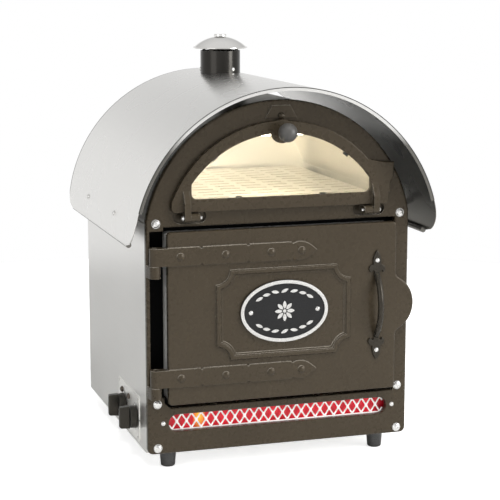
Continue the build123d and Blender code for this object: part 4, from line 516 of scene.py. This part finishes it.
# ------------------------------------------------------------------ cast front
# Iron casting, ground along its edges and finished in a satin brown-black stove enamel
# that shows the sand grain. Domed bright screws hold it to the cabinet.


def satin_coat(name, tone, edge_wear_and_highlight, roughness=0.27):
    """Satin dark coat: fine grain, slow colour drift, edges a little lighter from wear and much
    lighter where they face up and left, a painted highlight.
    """
    material, tree, shader = new_material(name)
    grain = stretched_noise(tree, EVEN, 110.0, 5.0, 0.5)
    drift = stretched_noise(tree, EVEN, 9.0, 3.0, 0.5)
    colour = ramp(tree, drift, ((0.3, tuple(c * 0.93 for c in tone)),
                                (0.7, tuple(c * 1.07 for c in tone))))
    soft_edge = add_node(tree, "ShaderNodeBevel", {"samples": 8}, Radius=0.0013)
    flat = add_node(tree, "ShaderNodeNewGeometry")

    def agreement(direction):
        """How far the softened normal points the same way as a direction."""
        node = add_node(tree, "ShaderNodeVectorMath", {"operation": "DOT_PRODUCT"})
        plug(tree, soft_edge.outputs["Normal"], node.inputs[0])
        plug(tree, direction, node.inputs[1])
        return node.outputs["Value"]

    # Edges are lightened faintly all round as wear, and strongly where they face up and to the
    # left as a painted highlight.
    edge = remap(tree, agreement(flat.outputs["Normal"]), 0.985, 0.85, 0.0, 1.0)
    upper_left_gleam = remap(tree, agreement((-0.35, -0.2, 0.9)), 0.25, 0.75, 0.12, 1.0)
    worn_and_highlighted = mixed_colour(tree, times(tree, edge, upper_left_gleam), colour, (*edge_wear_and_highlight, 1.0))
    tree.links.new(worn_and_highlighted, shader.inputs["Base Color"])
    tree.links.new(remap(tree, grain, 0.3, 0.7, roughness - 0.02, roughness + 0.04),
                   shader.inputs["Roughness"])
    relief = bump(tree, shader, grain, 0.00006, 0.10)
    tree.links.new(soft_edge.outputs["Normal"], relief.inputs["Normal"])
    shader.inputs["Specular IOR Level"].default_value = 0.4
    shader.inputs["Specular Tint"].default_value = (1.0, 0.88, 0.72, 1.0)
    return material


ENAMEL_TONE = (0.030, 0.023, 0.0145)
# Tone of the edge wear and painted edge highlight.
ENAMEL_EDGE_WEAR_AND_HIGHLIGHT = (0.36, 0.33, 0.28)
enamel = satin_coat("casting_enamel", ENAMEL_TONE, ENAMEL_EDGE_WEAR_AND_HIGHLIGHT)
wear(nodes["fascia"], enamel)
wear(nodes["catch_stud"], enamel)
FRONT_FACE = -0.2025
FRONT_SCREW_X, FRONT_SCREW_HEIGHTS = 0.204, (0.040, 0.112, 0.401)
FRONT_SCREW_RADIUS, FRONT_SCREW_DOME = 0.007, 0.004
screws("front_screw_heads",
       [((side * FRONT_SCREW_X, FRONT_FACE, z), (0, -1, 0)) for side in (-1, 1)
        for z in FRONT_SCREW_HEIGHTS],
       FRONT_SCREW_RADIUS, FRONT_SCREW_DOME, "cabinet", "fascia_screws", 5)
SLOT_SCREW_X, SLOT_SCREW_HEIGHT = 0.195, 0.080
SMALL_SCREW_RADIUS, SMALL_SCREW_DOME = 0.0036, 0.0022
screws("slot_screw_heads",
       [((side * SLOT_SCREW_X, FRONT_FACE, SLOT_SCREW_HEIGHT), (0, -1, 0)) for side in (-1, 1)],
       SMALL_SCREW_RADIUS, SMALL_SCREW_DOME, "cabinet", "slot_screws", 6)

# ------------------------------------------------------------------ oven inside
# Mouth frame in near-black painted shade; liner, runners and crumb tray of heat-dulled sheet,
# two bright wire shelves, two sheathed elements and the thermostat's probe, wrapped in mineral
# wool.
oven_steel = brushed_stainless("oven_steel", (1.0, 0.03, 1.0), (0.42, 0.40, 0.37), 0.38)
for name in ("oven_liner", "shelf_runners", "crumb_tray"):
    wear(nodes[name], oven_steel)
# Painted shade: the mouth frame is near black with no visible gloss, standing for the shadow in
# the gap round the door.
wear(nodes["mouth_frame"], brushed_stainless("mouth_painted_shade", EVEN, (0.006, 0.006, 0.006), 0.6))
wear(nodes["wire_shelves"], bright_screw_steel("shelf_wire", (0.8, 0.79, 0.77)))
element_steel = brushed_stainless("element_steel", EVEN, (0.16, 0.14, 0.125), 0.45)
for name in ("top_element", "bottom_element", "thermostat_probe"):
    wear(nodes[name], element_steel)


def mineral_wool(name):
    """Pressed yellow-brown fibre mat."""
    material, tree, shader = new_material(name)
    fibre = stretched_noise(tree, (0.3, 1.0, 1.0), 600.0, 6.0, 0.7)
    tree.links.new(ramp(tree, fibre, ((0.3, (0.42, 0.36, 0.2)), (0.7, (0.72, 0.66, 0.45)))),
                   shader.inputs["Base Color"])
    bump(tree, shader, fibre, 0.0006, 0.7)
    shader.inputs["Roughness"].default_value = 0.95
    return material


wool = mineral_wool("mineral_wool")
wear(nodes["oven_insulation"], wool)
wear(nodes["door_insulation"], wool)

# ------------------------------------------------------------------ display arch
# Polished liner behind the window, a perforated deck to stand food on, and a warm
# tubular lamp between two ceramic holders under the crown.
wear(nodes["display_liner"], brushed_stainless("display_steel", GRAIN_ALONG_X,
                                               (0.90, 0.88, 0.83), 0.4))
wear(nodes["display_deck"], brushed_stainless("deck_steel", GRAIN_ALONG_X,
                                              (0.78, 0.75, 0.70), 0.3))


def glowing(name, tone, strength):
    """A surface that gives its own light, a little uneven."""
    material, tree, shader = new_material(name)
    clouds = stretched_noise(tree, EVEN, 30.0, 2.0)
    colour = ramp(tree, clouds, ((0.3, tuple(c * 0.85 for c in tone)), (0.7, tone)))
    tree.links.new(colour, shader.inputs["Base Color"])
    tree.links.new(colour, shader.inputs["Emission Color"])
    shader.inputs["Emission Strength"].default_value = strength
    shader.inputs["Roughness"].default_value = 0.3
    return material


wear(nodes["display_lamp"], glowing("display_lamp_glass", (1.0, 0.88, 0.68), 260.0))


def fired_ceramic(name):
    """Unglazed off-white ceramic with faint specks."""
    material, tree, shader = new_material(name)
    specks = stretched_noise(tree, EVEN, 400.0, 4.0)
    tree.links.new(ramp(tree, specks, ((0.35, (0.7, 0.67, 0.6)), (0.6, (0.86, 0.84, 0.78)))),
                   shader.inputs["Base Color"])
    bump(tree, shader, specks, 0.00005, 0.4)
    shader.inputs["Roughness"].default_value = 0.6
    return material


ceramic = fired_ceramic("lamp_ceramic")
for name in ("lamp_holders", "glow_lamp_holders", "terminal_block"):
    wear(nodes[name], ceramic)

# ------------------------------------------------------------------ glow slot
# Expanded steel mesh in pale enamel behind the slot, a red lit panel behind that, and
# the lamp that lights it from inside the base.
mesh_enamel, mesh_tree, mesh_shader = new_material("mesh_enamel")
mesh_clouds = stretched_noise(mesh_tree, EVEN, 400.0, 3.0)
mesh_colour = ramp(mesh_tree, mesh_clouds, ((0.3, (0.82, 0.76, 0.74)), (0.7, (0.95, 0.91, 0.89))))
mesh_tree.links.new(mesh_colour, mesh_shader.inputs["Base Color"])
# Painted light: the strands glow faintly, standing for light falling on them in the recessed
# slot.
mesh_tree.links.new(mesh_colour, mesh_shader.inputs["Emission Color"])
mesh_shader.inputs["Emission Strength"].default_value = 0.2
mesh_shader.inputs["Roughness"].default_value = 0.35
bump(mesh_tree, mesh_shader, mesh_clouds, 0.00003, 0.3)

MESH_PITCH, MESH_ROW = 0.0162, 0.0124
MESH_COLUMNS = 22
MESH_MIDDLE = (0.0, -0.1917, 0.079)
MESH_HALF_LENGTH, MESH_HALF_HEIGHT = 0.1805, 0.0135
MESH_STRAND, MESH_DEPTH = 0.0027, 0.0014


def slot_mesh_tree():
    """Crossed strands with a thick knuckle at each bond, over the whole slot, and two rims."""
    tree, given, result = shape_tree("expanded_mesh", "Pitch", "Row", "Strand", "Depth",
                                     "Columns", "Border Low", "Border High", "Half Length")
    size = given.outputs

    def level_bar(sides, length, **place):
        """A round bar along X, flattened to the mesh's strand and depth."""
        bar = run_node(tree, "GeometryNodeMeshCylinder", Vertices=sides, Radius=0.5, Depth=1.0)
        flat = moved(tree, bar.outputs["Mesh"], Rotation=(0.0, pi / 2, 0.0))
        return moved(tree, flat, Scale=combined(tree, length, size["Depth"], size["Strand"]),
                     **place)

    strand_turn = calc(tree, "ARCTAN2", size["Row"], times(tree, size["Pitch"], 0.5))
    strand_length = slant(tree, size["Row"], times(tree, size["Pitch"], 0.5))
    bar = level_bar(8, times(tree, strand_length, 1.04))
    crossed = [moved(tree, bar, Rotation=combined(tree, 0.0, times(tree, strand_turn, way), 0.0))
               for way in (-1.0, 1.0)]
    knuckle = run_node(tree, "GeometryNodeMeshUVSphere", Segments=10, Rings=6, Radius=1.0)
    knuckle_sized = moved(tree, knuckle.outputs["Mesh"],
                          Scale=combined(tree, times(tree, size["Strand"], 0.95),
                                         times(tree, size["Depth"], 0.5),
                                         times(tree, size["Strand"], 1.25)))
    cell = joined(tree, *crossed, knuckle_sized)
    parts = []
    for row, extra in ((-1.0, 1.0), (0.0, 0.0), (1.0, 1.0)):
        columns = plus(tree, size["Columns"], extra)
        half_row = times(tree, minus(tree, columns, 1.0), -0.5)
        start = combined(tree, times(tree, half_row, size["Pitch"]), 0.0,
                         times(tree, size["Row"], row))
        line = run_node(tree, "GeometryNodeMeshLine", Count=columns, Start_Location=start,
                        Offset=combined(tree, size["Pitch"], 0.0, 0.0))
        placed = run_node(tree, "GeometryNodeInstanceOnPoints", Points=line.outputs[0],
                          Instance=cell)
        parts.append(placed.outputs[0])
    for border in ("Border Low", "Border High"):
        parts.append(level_bar(10, times(tree, size["Half Length"], 2.0),
                               Translation=combined(tree, 0.0, 0.0, size[border])))
    real = run_node(tree, "GeometryNodeRealizeInstances", Geometry=joined(tree, *parts))
    dressed(tree, moved(tree, real.outputs[0], Translation=MESH_MIDDLE), result, mesh_enamel)
    return tree


slot_mesh = grown_piece(
    "slot_strands", slot_mesh_tree(), bpy.data.meshes.new("slot_base"),
    {"Pitch": MESH_PITCH, "Row": MESH_ROW, "Strand": MESH_STRAND, "Depth": MESH_DEPTH,
     "Columns": MESH_COLUMNS, "Border Low": -MESH_HALF_HEIGHT, "Border High": MESH_HALF_HEIGHT,
     "Half Length": MESH_HALF_LENGTH},
    "cabinet", "slot_mesh")


HOT_SPOT_X, HOT_SPOT_HEIGHT = -0.131, 0.084
DARK_END_START, DARK_END_STOP = 0.168, 0.184


def lit_panel(name):
    """Red glass with a painted glow: deep red, hot spot near the lamp's end, painted shade at
    right.
    """
    material, tree, shader = new_material(name)
    where = object_place(tree)
    away = calc(tree, "ABSOLUTE", minus(tree, where["X"], HOT_SPOT_X))
    above = calc(tree, "ABSOLUTE", minus(tree, where["Z"], HOT_SPOT_HEIGHT))
    painted_lamp_spot = times(tree, remap(tree, away, 0.002, 0.011, 1.0, 0.0),
                 remap(tree, above, 0.003, 0.016, 1.0, 0.35))
    clouds = stretched_noise(tree, EVEN, 45.0, 3.0)
    red = ramp(tree, clouds, ((0.3, (0.40, 0.004, 0.012)), (0.7, (0.66, 0.016, 0.034))))
    colour = mixed_colour(tree, painted_lamp_spot, red, (1.0, 0.56, 0.05, 1.0))
    tree.links.new(colour, shader.inputs["Base Color"])
    tree.links.new(colour, shader.inputs["Emission Color"])
    # Painted shade: the glow fades away towards the right end.
    tree.links.new(remap(tree, where["X"], DARK_END_START, DARK_END_STOP, 0.42, 0.02),
                   shader.inputs["Emission Strength"])
    shader.inputs["Roughness"].default_value = 0.25
    return material


wear(nodes["glow_panel"], lit_panel("red_panel"))
wear(nodes["glow_lamp"], glowing("glow_lamp_glass", (1.0, 0.5, 0.2), 4.0))

# ------------------------------------------------------------------ oven door
# Iron casting with strap hinges, rivets and a raised moulding, backed by a pressed
# stainless pan with wool inside and a silicone seal that closes on the mouth frame.
wear(nodes["door_casting"], enamel)
pan_steel = brushed_stainless("pan_steel", (1.0, 1.0, 0.02), (0.70, 0.69, 0.66), 0.5)
pan_steel.node_tree.nodes["Principled BSDF"].inputs["Metallic"].default_value = 0.15
wear(nodes["door_inner_pan"], pan_steel)
wear(nodes["door_seal"], moulded_plastic("seal_silicone", (0.05, 0.05, 0.05), 0.6, 300.0, 0.0001))
wear(nodes["door_hinge_pins"], screw_steel)

# ------------------------------------------------------------------ pull handle and badge
# Forged iron pull handle with a leaf-shaped foot at each end, and a cast oval badge with
# a bright rim and ornament on a blackened field. Both are screwed through the door.
# The third tone is the handle's edge wear and painted edge highlight.
handle_enamel = satin_coat("handle_enamel", (0.012, 0.011, 0.009), (0.09, 0.085, 0.075), 0.26)
wear(nodes["door_handle"], handle_enamel)
DOOR_SCREW_FACE = -0.224
HANDLE_X, HANDLE_MIDDLE, HANDLE_SCREW_REACH = 0.158, 0.254, 0.074
screws("handle_screw_heads",
       [((HANDLE_X, DOOR_SCREW_FACE, HANDLE_MIDDLE + side * HANDLE_SCREW_REACH), (0, -1, 0))
        for side in (-1, 1)],
       SMALL_SCREW_RADIUS, SMALL_SCREW_DOME, "oven_door", "door_handle_screws", 8)
badge_low, badge_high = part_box("badge_plate")
BADGE_MIDDLE, BADGE_SCREW_REACH = (badge_low[2] + badge_high[2]) / 2, 0.056
BADGE_FIELD, BADGE_RAISED = -0.2244, -0.2249
screws("badge_screw_heads",
       [((side * BADGE_SCREW_REACH, DOOR_SCREW_FACE, BADGE_MIDDLE), (0, -1, 0))
        for side in (-1, 1)],
       SMALL_SCREW_RADIUS, SMALL_SCREW_DOME, "oven_door", "badge_screws", 9)


def cast_badge(name):
    """Cast aluminium: blackened field, raised rim and ornament rubbed bright."""
    material, tree, shader = new_material(name)
    raised = remap(tree, object_place(tree)["Y"], BADGE_FIELD, BADGE_RAISED, 0.0, 1.0)
    grain = stretched_noise(tree, EVEN, 500.0, 3.0)
    bright = ramp(tree, grain, ((0.3, (0.46, 0.455, 0.44)), (0.7, (0.66, 0.65, 0.63))))
    black = ramp(tree, grain, ((0.3, (0.006, 0.006, 0.006)), (0.7, (0.014, 0.014, 0.015))))
    tree.links.new(mixed_colour(tree, raised, black, bright), shader.inputs["Base Color"])
    tree.links.new(times(tree, raised, 0.6), shader.inputs["Metallic"])
    shader.inputs["Specular IOR Level"].default_value = 0.25
    tree.links.new(remap(tree, grain, 0.3, 0.7, 0.38, 0.5), shader.inputs["Roughness"])
    bump(tree, shader, grain, 0.00005, 0.4)
    return material


wear(nodes["badge_plate"], cast_badge("badge_cast"))

# ------------------------------------------------------------------ display window
# Arched iron frame with a pane of toughened glass clipped in from behind. Two arms hang
# on pins in the front's lugs, so it folds down forwards, and a ball knob opens it.
wear(nodes["window_frame"], enamel)
wear(nodes["glass_clips"], side_steel)
wear(nodes["window_hinge_pins"], screw_steel)
wear(nodes["window_knob"], moulded_plastic("ball_plastic", (0.045, 0.043, 0.04), 0.42, 600.0,
                                           0.00004))


def oven_glass(name):
    """Clear toughened glass with a faint green body and a few smears in its gloss."""
    material, tree, shader = new_material(name)
    smears = stretched_noise(tree, (1.0, 1.0, 0.4), 30.0, 4.0)
    tree.links.new(remap(tree, smears, 0.4, 0.7, 0.0, 0.06), shader.inputs["Roughness"])
    shader.inputs["Base Color"].default_value = (0.96, 0.985, 0.97, 1.0)
    shader.inputs["Transmission Weight"].default_value = 1.0
    shader.inputs["IOR"].default_value = 1.45
    return material


wear(nodes["window_glass"], oven_glass("window_glass"))

# ------------------------------------------------------------------ controls
# Stainless plate low on the left side with a thermostat knob in front, a timer knob
# behind it and two smoked indicator domes. The knobs push on to the switches' shafts.
plate_steel = brushed_stainless("plate_steel", GRAIN_ALONG_Y, (0.84, 0.83, 0.80), 0.4)
wear(nodes["control_plate"], plate_steel)
KNOB_HEIGHT = 0.073
KNOB_DEPTHS = (-0.1235, -0.0435)


def dial_marks(material, marks, inner, outer):
    """Printed short strokes in a ring round each knob."""
    tree = material.node_tree
    where = object_place(tree)
    up = minus(tree, where["Z"], KNOB_HEIGHT)
    inked = 0.0
    for depth in KNOB_DEPTHS:
        along = minus(tree, where["Y"], depth)
        reach = slant(tree, along, up)
        in_ring = times(tree, calc(tree, "GREATER_THAN", reach, inner),
                        calc(tree, "LESS_THAN", reach, outer))
        turn = times(tree, calc(tree, "ARCTAN2", up, along), marks / tau)
        stroke = calc(tree, "LESS_THAN", calc(tree, "FRACT", turn), 0.24)
        inked = plus(tree, inked, times(tree, in_ring, stroke))
    blend_tone(material, inked, (0.03, 0.03, 0.03))


dial_marks(plate_steel, 16, 0.0205, 0.0232)
# The third tone is the knobs' edge wear and painted edge highlight.
knob_plastic = satin_coat("knob_plastic", (0.014, 0.014, 0.013), (0.20, 0.20, 0.19), 0.3)
for name in ("thermostat_body", "timer_body", "cable_gland"):
    wear(nodes[name], knob_plastic)
wear(nodes["indicator_lamps"], moulded_plastic("smoked_lens", (0.05, 0.035, 0.022), 0.1, 200.0,
                                               0.00002))

KNOB_RADIUS = 0.0188
KNOB_BACK, KNOB_SKIRT, KNOB_FRONT = -0.2219, -0.2325, -0.2486
GRIP_HALF_WIDTH = 0.0068


def control_knob(name, y, body, node):
    """Moulded knob: a plain skirt and a round-ended grip bar, all edges softened."""
    shape = bmesh.new()
    bmesh.ops.create_cone(
        shape, cap_ends=True, segments=48, radius1=KNOB_RADIUS, radius2=KNOB_RADIUS * 0.95,
        depth=KNOB_BACK - KNOB_SKIRT,
        matrix=Matrix.Translation(((KNOB_BACK + KNOB_SKIRT) / 2, y, KNOB_HEIGHT))
        @ Euler((0, -pi / 2, 0)).to_matrix().to_4x4())
    rim = [edge for edge in shape.edges if abs(len(edge.link_faces[0].verts)
                                               - len(edge.link_faces[1].verts)) > 10]
    bmesh.ops.bevel(shape, geom=rim, offset=0.0010, segments=3, profile=0.5, affect="EDGES")
    bar = bmesh.new()
    profile = []
    steps = 10
    for side in (1, -1):
        for step in range(steps + 1):
            up = side * (KNOB_RADIUS - 0.0004) * sin(pi / 2 * (1 - 2 * step / steps))
            belly = sqrt(max(0.0, 1 - (up / KNOB_RADIUS) ** 2))
            profile.append((side * GRIP_HALF_WIDTH * (0.62 + 0.38 * belly), up))
    low = [bar.verts.new((KNOB_SKIRT + 0.0006, y + a, KNOB_HEIGHT + b)) for a, b in profile]
    high = [bar.verts.new((KNOB_FRONT, y + a * 0.82, KNOB_HEIGHT + b * 0.96))
            for a, b in profile]
    bar.faces.new(low)
    bar.faces.new(list(reversed(high)))
    for index in range(len(low)):
        after = (index + 1) % len(low)
        bar.faces.new((low[index], high[index], high[after], low[after]))
    bmesh.ops.remove_doubles(bar, verts=bar.verts, dist=0.00001)
    bmesh.ops.recalc_face_normals(bar, faces=bar.faces)
    top = [edge for edge in bar.edges
           if all(abs(vertex.co.x - KNOB_FRONT) < 1e-6 for vertex in edge.verts)]
    bmesh.ops.bevel(bar, geom=top, offset=0.0030, segments=4, profile=0.5, affect="EDGES")
    bar_mesh = bpy.data.meshes.new(name + "_bar")
    bar.to_mesh(bar_mesh)
    shape.from_mesh(bar_mesh)
    bmesh.ops.recalc_face_normals(shape, faces=shape.faces)
    mesh = bpy.data.meshes.new(name)
    shape.to_mesh(mesh)
    shape.free()
    bar.free()
    piece = bpy.data.objects.new(name, mesh)
    bpy.context.scene.collection.objects.link(piece)
    mesh.materials.append(knob_plastic)
    mesh.shade_smooth()
    sharpen(piece, 40)
    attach(piece, body)
    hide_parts(node)


control_knob("thermostat_grip", KNOB_DEPTHS[0], "thermostat_dial", "thermostat_knob")
control_knob("timer_grip", KNOB_DEPTHS[1], "timer_dial", "timer_knob")

# ------------------------------------------------------------------ studio
# Pale round floor that glows only to the camera, a pale world that metal sees graded, an
# overhead lamp that metal doesn't mirror, one broad lamp on each side, and the camera.
floor_mesh = bpy.data.meshes.new("floor")
floor_shape = bmesh.new()
bmesh.ops.create_circle(floor_shape, cap_ends=True, segments=96, radius=1.7)
floor_shape.to_mesh(floor_mesh)
floor_shape.free()
floor = bpy.data.objects.new("floor", floor_mesh)
bpy.context.scene.collection.objects.link(floor)
floor_material, floor_tree, floor_shader = new_material("floor_white")
floor_shader.inputs["Base Color"].default_value = (0.88, 0.88, 0.87, 1.0)
floor_shader.inputs["Roughness"].default_value = 0.8
floor_shader.inputs["Emission Color"].default_value = (1.0, 1.0, 1.0, 1.0)
floor_path = floor_tree.nodes.new("ShaderNodeLightPath")
floor_tree.links.new(times(floor_tree, floor_path.outputs["Is Camera Ray"], 0.70),
                     floor_shader.inputs["Emission Strength"])
wear(floor, floor_material)

world = bpy.data.worlds.new("studio")
bpy.context.scene.world = world
world.use_nodes = True
world_tree = world.node_tree
background = world_tree.nodes["Background"]
light_path = world_tree.nodes.new("ShaderNodeLightPath")
seen = calc(world_tree, "MAXIMUM", light_path.outputs["Is Camera Ray"],
            light_path.outputs["Is Transmission Ray"])
sky_place = world_tree.nodes.new("ShaderNodeTexCoord")
sky_height = world_tree.nodes.new("ShaderNodeSeparateXYZ")
world_tree.links.new(sky_place.outputs["Generated"], sky_height.inputs[0])
in_metal = ramp(world_tree, sky_height.outputs[2],
                ((0.0, (1.0, 1.0, 1.0)), (0.2, (1.0, 1.0, 1.0)), (0.38, (0.62, 0.62, 0.62)),
                 (0.9, (0.85, 0.85, 0.85))))
lit = add_node(world_tree, "ShaderNodeMix", {"data_type": "FLOAT"})
world_tree.links.new(light_path.outputs["Is Glossy Ray"], lit.inputs[0])
lit.inputs[2].default_value = 0.32
world_tree.links.new(in_metal, lit.inputs[3])
shown = add_node(world_tree, "ShaderNodeMix", {"data_type": "FLOAT"})
world_tree.links.new(seen, shown.inputs[0])
world_tree.links.new(lit.outputs[0], shown.inputs[2])
shown.inputs[3].default_value = 1.0
world_tree.links.new(shown.outputs[0], background.inputs["Strength"])
background.inputs["Color"].default_value = (1.0, 1.0, 1.0, 1.0)


def soft_light(name, place, aim, size, power):
    """A rectangular lamp at a place, turned to face its aim."""
    light = bpy.data.lights.new(name, "AREA")
    light.shape = "RECTANGLE"
    light.size, light.size_y = size
    light.energy = power
    lamp = bpy.data.objects.new(name, light)
    lamp.location = place
    lamp.rotation_euler = (Vector(aim) - Vector(place)).to_track_quat("-Z", "Y").to_euler()
    bpy.context.scene.collection.objects.link(lamp)
    return lamp


overhead = soft_light("overhead", (0.0, -1.2, 2.1), (0, -0.1, 0.3), (1.8, 1.0), 52)
overhead.visible_glossy = False
soft_light("front_right", (2.0, -1.8, 1.1), (0.1, -0.2, 0.3), (1.0, 1.4), 46)
soft_light("left_side", (-2.2, -1.4, 0.9), (-0.1, 0, 0.3), (1.6, 1.6), 9)

CAMERA_PLACE = (-0.79520, -2.56872, 0.79082)
CAMERA_LOOK = (0.29552, 0.93934, -0.17411)
camera_data = bpy.data.cameras.new("photo_view")
camera_data.sensor_width = 36.0
camera_data.lens = 114.58
camera = bpy.data.objects.new("photo_view", camera_data)
camera.location = CAMERA_PLACE
camera.rotation_euler = Vector(CAMERA_LOOK).to_track_quat("-Z", "Y").to_euler()
bpy.context.scene.collection.objects.link(camera)
bpy.context.scene.camera = camera
bpy.context.scene.view_settings.view_transform = "Standard"
